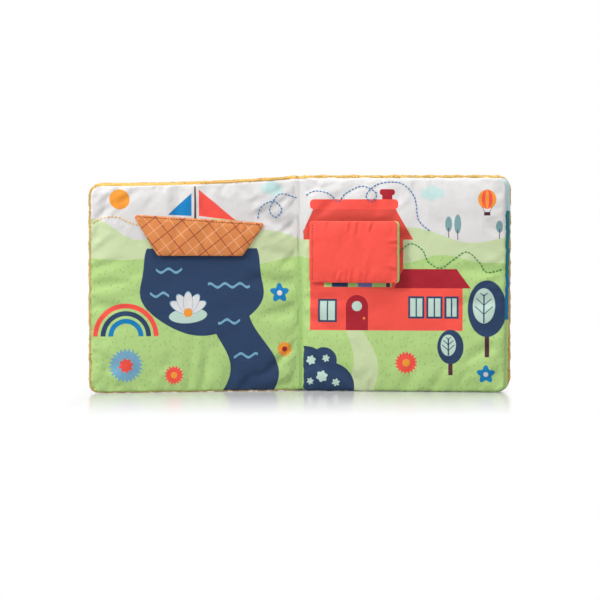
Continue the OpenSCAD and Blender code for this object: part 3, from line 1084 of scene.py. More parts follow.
def left_print():
    """A boat's pond between hills: the plaid flap is the boat."""
    c = colours()
    p = Print(Shade("front_page_print"), c.sky)
    x, y = p.x, p.y
    mint_cloud = (0.52, 0.77, 0.74)
    for cx, cy, r in ((176, 203, 5), (183, 206, 6), (190, 202, 4.5), (183, 201, 6)):
        p.ink(disc(x, y, cx, cy, r), mint_cloud, 0.7)
    p.ink(disc(x, y, 30, 192, 10), c.orange)
    p.ink(p.land(163, (10, 150, 2.2), (3, 60, 0.3)), c.far_hill)
    p.ink(polygon(x, y, (104, 150), (106.4, 150), (106.0, 206), (104.4, 206)), c.brown)
    p.ink(polygon(x, y, (109, 176), (146, 171), (109, 203)), c.coral)
    p.ink(polygon(x, y, (101.5, 176), (101.5, 199), (78, 177)), c.blue)
    field = p.land(129, (4, 190, 0.6), (1.5, 70, 2.0))
    p.ink(field, c.field)
    p.blades(field, c.blade)
    pond = oval(x, y, 112, 112, 62, 58) + wave(y * 0.11 + 1.0) * 2.4
    pond = most(pond, y - 143)
    stream = most(abs(x - (wave(y * 0.052 + 0.5) * 13 + 152)) - (26 - y * 0.08), y - 92)
    p.ink(least(pond, stream), c.navy)
    for cy, x0, x1, start in ((121, 66, 92, 0.0), (106, 118, 160, 1.4), (97, 60, 79, 2.2),
                              (70, 128, 150, 0.6), (36, 144, 168, 1.0)):
        stroke = most(abs(y - cy - wave(x * 0.42 + start) * 1.9) - 1.3, block(x, y, x0, 0, x1, 200))
        p.ink(stroke, c.pale_blue)
    for r, tint in ((30, c.coral), (22.5, c.navy), (15, c.blue)):
        arc = most(ring(disc(x, y, 36, 56, r), 4.8), 56 - y)
        p.ink(arc, tint)
    p.ink(oval(x, y, 98, 76, 19, 7.5, 4), c.mint)
    for turn in (-62, 62, -32, 32, 0):
        lean = math.radians(turn)
        petal = oval(x, y, 98 + 9 * math.sin(lean), 80 + 9 * math.cos(lean), 4.6, 11, -turn)
        p.ink(petal, (0.80, 0.79, 0.80))
        p.ink(ring(petal, 0.4), c.pale_blue)
    p.ink(disc(x, y, 98, 79, 4.4), c.orange)
    p.ink(blossom(x, y, 36, 27, 15.5, 24, 1.5), c.pale_blue)
    p.ink(blossom(x, y, 36, 27, 6.5, 8, 0.9), c.coral)
    p.flower(84, 17, 8.5, 16, 1.1, c.coral, 3.2, c.orange)
    p.flower(190, 98, 8, 5, 1.9, c.blue, 2.6, c.sky)
    p.flower(195, 42, 7, 14, 1.0, c.orange, 2.6, c.dark_red)
    return p.finish()


def right_print():
    """A house with a wing among trees: the red flap is its shutter."""
    c = colours()
    p = Print(Shade("leaf_front_print"), c.sky)
    x, y = p.x, p.y
    mint_cloud = (0.52, 0.77, 0.74)
    for cx, cy, r in ((122, 195, 4.5), (129, 198, 6), (137, 196, 5), (129, 193, 5)):
        p.ink(disc(x, y, cx, cy, r), mint_cloud, 0.7)
    for half_wide, tint in ((9, c.orange), (5.4, c.coral), (1.8, c.orange)):
        p.ink(oval(x, y, 184, 190, half_wide, 9.5), tint)
    p.ink(block(x, y, 181, 174, 187, 177.5), c.brown)
    ropes = abs(abs(x - 184) - 2.2 - (y - 177) * 0.5) - 0.3
    p.ink(most(ropes, block(x, y, 170, 177, 198, 183)), c.brown)
    p.ink(p.land(156, (7, 230, -0.4), (3, 90, -0.4)), c.far_hill)
    for cx, cy, tall in ((146, 158, 15), (155, 156, 19), (196, 157, 12)):
        p.ink(oval(x, y, cx, cy + tall / 2, 3.4, tall / 2), c.teal, 0.75)
        p.ink(block(x, y, cx - 0.5, cy - 6, cx + 0.5, cy + 4), c.brown, 0.8)
    field = p.land(128, (5, 170, 2.6), (2, 66, 0.9))
    p.ink(field, c.field)
    p.blades(field, c.blade)
    lane = abs(x - 56 - wave(y * 0.06) * 8) - (15 - y * 0.11)
    p.ink(most(lane, y - 64), c.far_hill)
    deep_coral = (0.80, 0.075, 0.055)
    p.ink(block(x, y, 80, 168, 90, 198), c.dark_red)
    p.ink(block(x, y, 77.5, 194, 92.5, 200, 2.5), c.dark_red)
    p.ink(polygon(x, y, (-3, 150), (111, 150), (90, 186), (14, 186)), deep_coral)
    p.ink(block(x, y, 8, 180, 96, 190, 4), c.coral)
    p.ink(block(x, y, 8, 60, 101, 152), c.coral)
    p.ink(block(x, y, 98, 60, 160, 104), c.coral)
    p.ink(polygon(x, y, (92, 102), (168, 102), (154, 121), (101, 121)), c.dark_red)
    under = block(x, y, 22, 103, 89.5, 166)
    p.ink(under, c.field)
    p.ink(most(under, block(x, y, 30, 90, 46, 170)), c.navy)
    p.ink(most(under, block(x, y, 56, 90, 70, 170)), (0.20, 0.20, 0.50))
    p.ink(most(under, block(x, y, 84, 90, 88, 170)), (0.10, 0.02, 0.10))
    p.ink(least(block(x, y, 44, 60, 66, 84), disc(x, y, 55, 84, 11)), c.dark_red)
    p.ink(disc(x, y, 55, 84, 5), c.mint)
    p.ink(disc(x, y, 62, 72, 1.2), c.orange)
    for x0, y0, x1, y1 in ((18, 70, 33, 89), (108, 74, 120, 92), (126, 74, 138, 92), (144, 74, 154, 92)):
        p.ink(block(x, y, x0 - 2, y0 - 2, x1 + 2, y1 + 2), c.navy)
        p.ink(block(x, y, x0, y0, x1, y1), c.mint)
        p.ink(block(x, y, (x0 + x1) / 2 - 0.7, y0, (x0 + x1) / 2 + 0.7, y1), c.navy)
    for cx, cy, rx, ry, foot in ((184, 82, 19, 28, 34), (148, 44, 13, 17, 16)):
        p.ink(block(x, y, cx - 2.2, foot, cx + 2.2, cy), c.brown)
        p.ink(oval(x, y, cx, cy, rx, ry), c.navy)
        p.ink(oval(x, y, cx - 0.16 * rx, cy + 0.1 * ry, rx * 0.58, ry * 0.62), c.mint)
        inner = oval(x, y, cx - 0.16 * rx, cy + 0.1 * ry, rx * 0.46, ry * 0.5)
        for up in (-0.2, 0.12, 0.44):
            vein = abs(y - cy - ry * up - abs(x - cx + 0.16 * rx) * 0.9) - 0.55
            p.ink(most(vein, inner), c.navy)
        p.ink(block(x, y, cx - 0.16 * rx - 0.7, cy - ry * 0.5, cx - 0.16 * rx + 0.7, cy + ry * 0.5),
              c.navy)
    bush = least(disc(x, y, 2, 14, 30), least(disc(x, y, 28, 4, 24), disc(x, y, 22, 30, 13)))
    p.ink(bush, c.navy)
    for cx, cy, r in ((9, 30, 4.2), (20, 14, 5.2), (34, 8, 3.4), (8, 9, 3.0), (24, 32, 3.2)):
        p.ink(blossom(x, y, cx, cy, r, 6, 0.7), c.mint)
    p.flower(104, 28, 10, 18, 1.1, c.coral, 3.8, c.orange)
    p.flower(183, 17, 7.5, 5, 1.7, c.blue, 2.4, c.sky)
    return p.finish()


def teal_print():
    """Evening hills of the pages behind."""
    c = colours()
    p = Print(Shade("teal_hills_print"), (0.55, 0.72, 0.74))
    x, y = p.x, p.y
    p.ink(disc(x, y, 150, 176, 16), (0.80, 0.79, 0.74))
    p.ink(p.land(165, (12, 170, 0.5), (3, 60, 0.3)), c.teal)
    p.ink(p.land(122, (9, 140, 2.5), (3, 50, 0.3)), c.blue, 0.7)
    field = p.land(76, (8, 160, 4.0))
    p.ink(field, c.field)
    p.blades(field, c.blade)
    for cx, cy, r in ((40, 96, 17), (66, 88, 12), (168, 84, 20)):
        p.ink(block(x, y, cx - 1.6, cy - r - 16, cx + 1.6, cy), c.brown)
        p.ink(blossom(x, y, cx, cy, r, 12, 0.9), c.navy)
        p.ink(blossom(x, y, cx - 2, cy + 2, r * 0.55, 12, 0.7), c.mint)
    return p.finish()


def plain_print(name, tint):
    return Print(Shade(name), tint).finish()


def plaid_print(name="plaid_cloth"):
    """Brown cotton with thin maroon and pale lines crossing on the slant."""
    c = colours()
    p = Print(Shade(name), c.plaid)
    for turn in (38, -52):
        cs, sn = math.cos(math.radians(turn)), math.sin(math.radians(turn))
        run = p.x * cs + p.y * sn
        p.ink(abs(run % 19.0 - 9.5) - 0.42, c.plaid_light, 0.85)
        p.ink(abs((run + 9.5) % 19.0 - 9.5) - 0.42, c.plaid_dark, 0.9)
    return p.finish(0.7, 0.7)


# Relief of each cloth -----------------------------------------------------------------------


def cloth_relief(seed, folds=(), threads=(), flats=(), height=1.25, spacing=7.0, depth=8.0, roll=0.4,
                 sewn=1.9, cell=3.0, most_high=2.0, held_in=2.0):
    """Relief of a sewn, padded cloth: soft waves, gathers at its seam, creases and sunk stitches."""
    def relief(outline, places, gap, place):
        rng = np.random.default_rng(seed)
        held_edge = 14 * MM
        free = np.clip(gap / held_edge, 0, 1)
        out = roll * MM * free * rolling(places, rng, 80 * MM, 22 * MM)
        out += puckers(gap, place, outline.perimeter, rng, spacing * MM, height * MM, depth * MM)
        out += puckers(gap, place, outline.perimeter, rng, 0.45 * spacing * MM, 0.4 * height * MM,
                       0.5 * depth * MM)
        if sewn:
            out += sewn * wrinkles(outline.corners, outline.radii, outline, cell * MM, seed=seed)
        for start, end, high, wide in folds:
            out += crease(places, start, end, high * MM, wide * MM) * np.clip(gap / (held_in * MM), 0, 1)
        sunk, groove, border = 0.45 * MM, 1.7 * MM, 5 * MM
        for line in threads:
            out -= sunk * np.exp(-(near_line(places, line[::3]) / groove) ** 2)
        out = np.tanh(out / (most_high * MM)) * most_high * MM
        for x0, y0, x1, y1 in flats:
            inside = np.minimum.reduce([places[:, 0] - x0 * MM, x1 * MM - places[:, 0],
                                        places[:, 1] - y0 * MM, y1 * MM - places[:, 1]])
            share = np.clip(0.5 + inside / border, 0, 1)
            out = out * (1 - share) + share * np.minimum(out * 0.25, 0.05 * MM) - 0.1 * MM * share
        return out
    return relief


LEFT_FOLDS = (
    ((208, 207), (152, 176), 1.3, 2.8), ((199, 213), (146, 188), 1.0, 2.4),
    ((207, 196), (176, 172), 1.0, 2.2), ((190, 212), (160, 196), 0.8, 2.2),
    ((209, 178), (168, 150), 1.1, 2.8), ((209, 166), (182, 146), 0.8, 2.4),
    ((209, 150), (176, 118), 0.9, 3.2), ((209, 60), (178, 28), 1.1, 3.0),
    ((209, 44), (190, 20), 0.8, 2.4), ((208, 28), (184, 6), 1.0, 2.8),
    ((3, 160), (52, 198), 1.1, 2.8), ((2, 172), (40, 204), 0.9, 2.3), ((3, 184), (26, 204), 0.8, 2.2),
    ((2, 140), (30, 164), 0.8, 2.6), ((2, 126), (26, 136), 0.6, 2.6), ((120, 2), (104, 40), 0.7, 3.0),
    ((60, 2), (84, 30), 0.6, 2.8), ((22, 2), (34, 18), 0.7, 2.6), ((208, 96), (184, 84), 0.7, 2.6),
    ((150, 207), (138, 190), 0.7, 2.4), ((104, 206), (96, 192), 0.6, 2.4), ((66, 206), (74, 190), 0.6, 2.4),
)
RIGHT_FOLDS = (
    ((3, 206), (30, 184), 0.8, 2.6), ((3, 192), (50, 200), 0.7, 2.6), ((64, 208), (56, 192), 0.6, 2.2),
    ((112, 198), (84, 174), 0.8, 2.8), ((201, 122), (166, 104), 0.8, 2.8), ((201, 136), (176, 126), 0.7, 2.4),
    ((202, 96), (172, 72), 0.8, 2.8), ((2, 92), (22, 66), 0.7, 2.6), ((3, 56), (20, 44), 0.7, 2.4),
    ((120, 209), (132, 186), 0.8, 2.6), ((60, 1), (74, 22), 0.8, 2.6), ((30, 1), (36, 16), 0.6, 2.2),
    ((120, 1), (112, 18), 0.7, 2.4), ((160, 1), (170, 20), 0.8, 2.6), ((202, 40), (180, 30), 0.7, 2.4),
    ((201, 180), (182, 170), 0.6, 2.4), ((160, 208), (166, 192), 0.6, 2.2),
)
YELLOW_LINE = ((1, 166), (12, 172), (26, 174), (38, 169), (48, 166), (60, 168))
BLUE_LEFT = ((168, 172), (172, 184), (184, 189), (192, 181), (186, 173), (180, 181), (190, 196), (209, 192))
BLUE_RIGHT = ((1, 192), (12, 198), (26, 196), (36, 188), (44, 196), (60, 203), (74, 196), (70, 188),
              (64, 194), (76, 205), (98, 206), (112, 192), (116, 170), (128, 158))
GREEN_VINE = ((97, 138), (108, 146), (120, 140), (126, 128), (138, 122), (150, 130), (164, 138),
              (176, 128), (184, 118), (203, 122))


def plush_side(axes, fold_across):
    """Share of tufts over a cover: all over its outside, edges and lip, none on its hollow side."""
    inverse = np.array(axes.inverted())
    s = sizes()

    def keep(middle, normal):
        local = middle @ inverse[:3, :3].T + inverse[:3, 3]
        facing = normal @ inverse[:3, :3].T
        lip_depth, lip_wide, bare_at_fold = 0.9 * MM, 9 * MM, (11 if fold_across else 6) * MM
        inner = (facing[:, 1] < -0.2) & (local[:, 1] > -lip_depth)
        border = np.minimum.reduce([local[:, 0] + 1 * MM, s.cover_w + 1 * MM - local[:, 0],
                                    local[:, 2] + 1 * MM, s.cover_h + 1 * MM - local[:, 2]])
        inner |= (facing[:, 1] < 0.3) & (border > lip_wide)
        inner |= np.abs(local[:, 0] - fold_across) < bare_at_fold
        return np.where(inner, 0.0, np.where(facing[:, 1] > 0.8, 1.0, 1.6))
    return keep


def dress_cover(cover, body, seed, print_cloth, cell, relief):
    """Fixes a cover's plush with its pile, and the page that fills its lip, to one body."""
    s = sizes()
    half = body.split("_")[0]
    plush = cover.plush(body + "_shell", bpy.data.materials["plush_pile"])
    keep = plush_side(cover.axes, 0.0 if cover.fold_left else s.cover_w)
    add_pile(plush, s.pile_count, TUFT_TALL, TUFT_WIDE, seed, keep=keep)
    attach(plush, body)
    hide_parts(body + "_plush")
    page = cover.page(half + "_page", print_cloth, cell, relief)
    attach(page, body)
    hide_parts(body + "_lining", body + "_wadding")
    return page


class BOOK_OT_front_cover(bpy.types.Operator):
    """Builds the front cover: yellow plush and the printed page that fills its lip"""
    bl_idname = "cloth_book.front_cover"
    bl_label = "Front cover"

    def execute(self, context):
        s = sizes()
        cover = Cover(False, s.front_slump, on_left(0, s.face_drop + s.cover_t / 2, 0), 1.6 * MM)
        threads = [curve_points(YELLOW_LINE), curve_points(BLUE_LEFT)]
        side, foot = 47, 135
        under_flap = (side + 18, foot - 2, side + 108, foot + 34)
        page = dress_cover(cover, "front_cover", 11, left_print(), s.cell,
                           cloth_relief(21, LEFT_FOLDS, threads, [under_flap]))
        skin = skin_of(page)
        for name, line, tint in (("yellow_stitches", threads[0], "thread_yellow"),
                                 ("blue_stitches_left", threads[1], "thread_blue")):
            piece = stitches(name, line, cover.axes, skin, bpy.data.materials[tint])
            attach(piece, "front_cover")
        return {"FINISHED"}


class BOOK_OT_back_cover(bpy.types.Operator):
    """Builds the back cover: yellow plush and its printed page"""
    bl_idname = "cloth_book.back_cover"
    bl_label = "Back cover"

    def execute(self, context):
        s = sizes()
        deep = 2 * s.leaf_t + 2 * s.leaf_gap + s.cover_t / 2
        cover = Cover(True, 0.0, on_right(-s.fold_reach, deep, 0), 3.4 * MM)
        dress_cover(cover, "back_cover", 12, bpy.data.materials["teal_hills_print"], 2 * s.cell,
                    cloth_relief(22, roll=0.0, height=0.2, sewn=0.0))
        return {"FINISHED"}


class BOOK_OT_leaves(bpy.types.Operator):
    """Builds the two padded leaves and the stitches on the first one"""
    bl_idname = "cloth_book.leaves"
    bl_label = "Leaves"

    def execute(self, context):
        s = sizes()
        front = right_print()
        behind = bpy.data.materials["teal_hills_print"]
        threads = [curve_points(BLUE_RIGHT), curve_points(GREEN_VINE)]
        window = (s.window_x / MM - 2, 105, s.window_x / MM + 86, 172)
        for number in range(2):
            axes = on_right(number * s.leaf_stagger, number * (s.leaf_t + s.leaf_gap) + s.leaf_t / 2,
                            s.leaf_lift)
            w, h, r = s.leaf_w, s.leaf_h, s.leaf_r
            first = number == 0
            near_end, foot, head = (1.5, 2.2, 1.2) if first else (0.0, 2.2, 0.0)
            corners = [(near_end * MM, 0), (w - foot * MM, 0), (w - head * MM, h), (near_end * MM, h)]
            outline = Outline(corners, [3 * MM, r, r, 3 * MM], s.cell)
            near = cloth_relief(31, RIGHT_FOLDS, threads, [window]) if first else quiet
            leaf = pad("leaf_%d" % (number + 1), outline, axes, s.leaf_t, 2.6 * MM, 38 * MM,
                       [front if first else behind, behind], near, quiet)
            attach(leaf, "root")
            if first:
                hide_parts("pages")
                self.stitch(leaf, axes, threads)
        return {"FINISHED"}

    def stitch(self, leaf, axes, threads):
        skin = skin_of(leaf)
        for name, line, tint in (("blue_stitches_right", threads[0], "thread_blue"),
                                 ("green_stitches", threads[1], "thread_green")):
            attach(stitches(name, line, axes, skin, bpy.data.materials[tint]), "root")


def quiet(outline, places, gap, place):
    return 0.0 * gap


def sewn_pair(names, axes, front, back, thick, edge_t, reach_in, materials, relief, bend):
    """Face cloth and lining of a flap, each closed by itself and meeting along their seam."""
    places = front.grid()
    gap, place = back.near(places)
    half = edge_t / 2 + (thick - edge_t) / 2 * swell(gap / reach_in)
    middle = (back.loop.min(0) + back.loop.max(0)) / 2
    face = Shell()
    border = face.grid(front, places, bend(places) - half - relief(back, places, gap, place))
    rolled = np.clip(back.near(front.loop)[0] / (1.5 * MM), 0, 1)
    seam = outward(front.loop, 0.3 * MM) * (1 - rolled)[:, None] + front.loop * rolled[:, None]
    deep = bend(front.loop) - 0.42 * edge_t * rolled
    sewn = face.add(*Cover.at(seam, deep))
    face.strips(border, sewn)
    face.fan(sewn, middle[0], 0.0, middle[1], flipped=True)
    lining = Shell()
    start = lining.add(*Cover.at(seam, deep))
    rim = lining.add(*Cover.at(outward(back.loop, 0.3 * MM), bend(back.loop) + 0.1 * MM))
    behind = back.grid()
    half = edge_t / 2 + (thick - edge_t) / 2 * swell(back.near(behind)[0] / reach_in)
    numbers = lining.add(behind[:, 0], bend(behind) + half, behind[:, 1])
    lining.cover(grid_faces(*back.counts, first=numbers[0], flipped=True))
    lining.strips(start, rim, numbers[back.border()])
    lining.fan(start, middle[0], 0.05 * MM, middle[1])
    return [shell.build(name, axes, [material])
            for shell, name, material in zip((face, lining), names, materials)]


WINDOW_FOLDS = (
    ((37, 67), (39, 48), 2.0, 1.5), ((45, 67), (46, 44), 2.2, 1.6), ((62, 67), (60, 49), 2.0, 1.5),
    ((29, -6), (31, 13), 2.0, 1.5), ((42, -6), (42, 15), 2.2, 1.6), ((58, -6), (56, 13), 2.0, 1.5),
    ((95, 14), (78, 18), 1.2, 1.8), ((95, 44), (78, 41), 1.2, 1.8), ((14, 67), (17, 52), 1.4, 1.6),
)
PLAID_FOLDS = (
    ((42, 44), (45, 26), 1.0, 1.6), ((82, 41), (79, 22), 1.0, 1.6), ((60, -4), (62, 13), 0.8, 1.7),
    ((108, 38), (103, 20), 0.9, 1.6), ((38, -4), (42, 11), 0.8, 1.6), ((20, 42), (26, 28), 0.8, 1.6),
)


class BOOK_OT_flaps(bpy.types.Operator):
    """Builds the red window flap and the plaid flap with their stitches"""
    bl_idname = "cloth_book.flaps"
    bl_label = "Flaps"

    def execute(self, context):
        s = sizes()
        threads = {k: bpy.data.materials["thread_" + k] for k in ("red", "brown", "pale")}
        axes = on_right(s.window_x, -s.window_off, s.leaf_lift + s.window_z, s.window_open)
        flap_cell = 1.3 * MM
        wider, lower, lining_seen = 3.4 * MM, 1.4 * MM, 1.7 * MM
        w, h, r = s.window_w + wider, s.window_h - lower, [3.4 * MM] * 4
        back = Outline([(0, 0), (w, 0), (w, h), (0, h)], r, flap_cell)
        seen = w - lining_seen
        front = Outline([(0, 0), (seen, 0), (seen, h), (0, h)], r, flap_cell, back.counts)
        line = curve_points(((3, 2.5), (3, 30), (3, h / MM - 2.5)))
        relief = cloth_relief(41, WINDOW_FOLDS, [line], height=0.35, spacing=8.0, depth=7.0, roll=0.1,
                              sewn=1.0, cell=1.7, most_high=2.0, held_in=0.6)
        pair = sewn_pair(("window_flap", "window_flap_back"), axes, front, back, s.window_t, 1.8 * MM,
                         15 * MM, (plain_print("red_cloth", colours().coral),
                                   bpy.data.materials["teal_hills_print"]),
                         relief, lambda p: 1.0 * MM * np.clip(1 - p[:, 0] / (7 * MM), 0, 1) ** 2)
        self.hold(pair, "root", "window", [("window_stitches", line, threads["red"])], axes)
        top = on_left(s.cover_w - s.plaid_x - s.plaid_top_w, s.face_drop - s.plaid_off,
                      s.plaid_z + s.plaid_h, -s.plaid_open)
        axes = top @ Matrix.Translation((0, 0, -s.plaid_h))
        side = (s.plaid_top_w - s.plaid_low_w) / 2
        w, h, fall = s.plaid_top_w, s.plaid_h, s.plaid_tilt
        corners = [(side, 0.5 * MM), (side + s.plaid_low_w - 1.5 * MM, 0),
                   (w + 1.2 * MM, h - fall + 2.6 * MM), (-3.6 * MM, h + 2.2 * MM)]
        back = Outline(corners, [2.6 * MM, 2.6 * MM, 2.2 * MM, 2.2 * MM], flap_cell)
        line = curve_points(((2, h / MM + 0.4), (w / MM / 2, (h - fall / 2) / MM + 0.6),
                             (w / MM - 3, (h - fall) / MM + 1.1)))
        tack = curve_points(((62.5, h / MM - 9.5), (65.5, h / MM - 10.5)))
        relief = cloth_relief(42, PLAID_FOLDS, [line], height=0.22, spacing=8.0, depth=6.0, roll=0.1,
                              sewn=0.9, cell=1.7, most_high=1.1, held_in=0.6)
        pair = sewn_pair(("plaid_flap", "plaid_flap_back"), axes, back, back, s.plaid_t, 1.8 * MM,
                         8 * MM, (plaid_print(), plaid_print("plaid_lining_cloth")),
                         relief, lambda p: 0.35 * MM * np.clip(1 - (h - p[:, 1]) / (14 * MM), 0, 1))
        self.hold(pair, "front_cover", "plaid", [("plaid_stitches", line, threads["brown"]),
                                                 ("plaid_tack", tack, threads["pale"])], axes)
        return {"FINISHED"}

    def hold(self, pair, body, name, lines, axes):
        """Fixes a flap's two cloths and its threads to the page behind it."""
        for piece, ends, kind in zip(pair, (("face", "wadding"), ("lining",)), ("cloth", "lining")):
            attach(piece, body)
            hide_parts(*["%s_flap_%s" % (name, end) for end in ends])
            "%s_%s" % (name, kind)
        skin = skin_of(pair[0])
        for label, line, material in lines:
            thread = stitches(label, line, axes, skin, material, length_each=1.6 * MM, gap=1.2 * MM,
                              radius=0.36 * MM)
            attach(thread, body)


def prism(name, profile, axes, low, high, material, step=3 * MM, soft=1.2 * MM):
    """Upright piece of one closed profile, its two ends slightly rounded."""
    points, faces = [], []
    levels = [low, low + 0.3 * soft, low + soft]
    levels += list(np.linspace(low + 2.5 * soft, high - 2.5 * soft, max(int((high - low) / step), 2)))
    levels += [high - soft, high - 0.3 * soft, high]
    middle = profile.mean(0)
    for z in levels:
        end = 1 - min(min(z - low, high - z) / soft, 1)
        for x, y in middle + (profile - middle) * (1 - 0.16 * end ** 2):
            points.append(axes @ Vector((x, y, z)))
    n = len(profile)
    for k in range(len(levels) - 1):
        for i in range(n):
            a, b = k * n + i, k * n + (i + 1) % n
            faces.append((a, b, b + n, a + n))
    faces.append(tuple(reversed(range(n))))
    faces.append(tuple(range((len(levels) - 1) * n, len(levels) * n)))
    return made(name, np.array([tuple(p) for p in points]), faces, None, [material])


def strip(name, path, low, high, thick, material, across=0.0, step=3 * MM, steps=26, wave_high=0.0,
          dip=0.0):
    """Upright strip of cloth along a path on the floor plan, which sinks in the middle at its foot."""
    line = resampled(curve_points([(x / MM, y / MM) for x, y in path]), steps)
    along = np.gradient(line, axis=0)
    along = along / np.linalg.norm(along, axis=1)[:, None]
    side = np.stack([along[:, 1], -along[:, 0]], axis=1)
    run = np.concatenate([[0], np.cumsum(np.linalg.norm(np.diff(line, axis=0), axis=1))])
    rows = int((high - low) / step)
    shell = Shell()
    z = np.repeat(np.linspace(low, high, rows + 1), steps)
    share = np.tile(run, rows + 1) / run[-1]
    lift = wave_high * np.sin(np.tile(run, rows + 1) * 900 + z * 140) * np.sin(z * 61)
    hollow = np.sin(math.pi * np.clip((share - 0.42) / 0.58, 0, 1)) ** 2
    lift -= dip * hollow * (1 - (z - low) / (high - low))
    skins = []
    for sign in (1, -1):
        places = line + sign * side * thick / 2
        x = np.tile(places[:, 0], rows + 1) + lift * np.tile(side[:, 0], rows + 1)
        y = np.tile(places[:, 1], rows + 1) + lift * np.tile(side[:, 1], rows + 1)
        flat = np.stack([across + np.tile(run, rows + 1), z], axis=1)
        first = shell.add(x, y, z, flat)
        shell.cover(grid_faces(steps - 1, rows, first[0], flipped=sign < 0))
        edge = np.concatenate([np.arange(steps), np.arange(1, rows + 1) * steps + steps - 1,
                               rows * steps + np.arange(steps - 2, -1, -1),
                               np.arange(rows - 1, 0, -1) * steps])
        skins.append(first[edge])
    shell.strips(skins[0], skins[1])
    return shell.build(name, Matrix.Identity(4), [material])


def floor_place(axes, across, deep):
    """Place on the floor plan of a point given in millimetres on a half of the book."""
    point = axes @ Vector((across * MM, deep * MM, 0))
    return point.x, point.y


class BOOK_OT_spine(bpy.types.Operator):
    """Builds the plush spine and the cloths that fold between it, the leaves and the covers"""
    bl_idname = "cloth_book.spine"
    bl_label = "Spine and folds"

    def execute(self, context):
        s = sizes()
        plush = bpy.data.materials["plush_pile"]
        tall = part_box("spine")[1].z
        around = np.linspace(0.5, 1.5, 17) * math.pi
        profile = [(5.0 * math.cos(t), 5.0 * math.sin(t)) for t in around]
        profile += [(3, -5.0), (7.6, -5.0), (7.9, -3.9), (7.6, -2.8), (3, -2.8), (2.0, -2.4), (1.8, 4.6),
                    (1.2, 5.0)]
        profile = resampled(np.array(profile + profile[:1]) * MM, 61)[:-1]
        roll = prism("spine_roll", profile, Matrix.Rotation(-s.right_turn, 4, "Z"), 0.0, tall, plush)
        add_pile(roll, s.pile_count // 6, 1.4 * MM, 0.55 * MM, 13)
        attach(roll, "root")
        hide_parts("spine")
        left, right = on_left(0, 0, 0), on_right(0, 0, 0)
        wide = s.cover_w / MM
        seam = resampled(np.array([(2.4, 5.5), (5.2, 5.0), (8.2, 5.6), (8.6, 8.2), (8.2, 11.0),
                                   (5.2, 11.6), (2.4, 11.0), (2.0, 8.2), (2.4, 5.5)]) * MM, 25)[:-1]
        block_piece = prism("leaf_seam", seam, right, 4 * MM, s.leaf_h - 3 * MM,
                            bpy.data.materials["teal_hills_print"])
        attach(block_piece, "root")
        self.fold("gutter_cloth", "front_cover",
                  [floor_place(left, wide - 5.0, 8.36), floor_place(left, wide - 0.8, 8.33),
                   floor_place(left, wide + 1.2, 8.35), floor_place(right, 1.5, 4.4),
                   floor_place(right, 3.2, 4.6)],
                  (4, 1), 1.4, 211.4, 0.45, bpy.data.materials["front_page_print"], wide - 5.0)
        self.fold("back_gutter_cloth", "back_cover",
                  [floor_place(right, 9.5, 16.45), floor_place(right, 3.0, 16.55),
                   floor_place(right, -1.6, 16.75), floor_place(right, -2.6, 16.95)],
                  (1, 3), 1.4, 211.4, 0.3, bpy.data.materials["teal_hills_print"], 0.0)
        outer = [(-5.0, 1.2), (-5.25, -1.6), (-5.6, -4.3), (-6.6, -6.9)]
        path = [(x * MM, y * MM) for x, y in outer]
        path += [floor_place(left, wide - 9.5, 15.15), floor_place(left, wide - 15, 15.0)]
        front = self.fold("front_fold_cloth", "front_cover", path, (0, 4), 0.8, 212.0, 0.7, plush, 0.0)
        turn = Matrix.Rotation(-s.right_turn, 4, "Z")
        rolled = [(-4.5, 2.3), (-3.2, 4.1), (-0.8, 5.25), (2.4, 5.2), (7.0, 5.0), (13.0, 4.85)]
        path = [floor_place(turn, x, y) for x, y in rolled]
        back = self.fold("back_fold_cloth", "back_cover", path, (1, 4), 0.8, 213.4, 0.7, plush, 0.0)
        return {"FINISHED"}

    def fold(self, name, body, path, ends, low, high, thick, material, across):
        """One strip of cloth that bends between the spine or leaves and a cover."""
        piece = strip(name, path, low * MM, high * MM, thick * MM, material, across * MM,
                      wave_high=0.12 * MM, dip=(2.0 if name == "gutter_cloth" else 0.0) * MM)
        pieces = [piece]
        if material.name == "plush_pile":
            turned = np.array([-1.0, 0.0, 0.0]) if body == "front_cover" else np.array([-0.3, 1.0, 0.0])
            pieces.append(add_pile(piece, sizes().pile_count // 4, 1.0 * MM, 0.4 * MM, 14,
                                   keep=lambda middle, normal: (normal @ turned > 0.1) + 1e-6,
                                   apart=name + "_pile"))
        start, end = path[ends[0]], path[ends[1]]
        for part in pieces:
            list(start)
            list(end)
            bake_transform(part)
        line = curve_points([(x / MM, y / MM) for x, y in path])
        return piece


class BOOK_OT_cloths(bpy.types.Operator):
    """Makes the cloths and threads that several pieces share"""
    bl_idname = "cloth_book.cloths"
    bl_label = "Cloths and threads"

    def execute(self, context):
        plush_cloth()
        teal_print()
        for name, tint in THREADS.items():
            thread_cloth("thread_" + name, srgb(*tint))
        return {"FINISHED"}


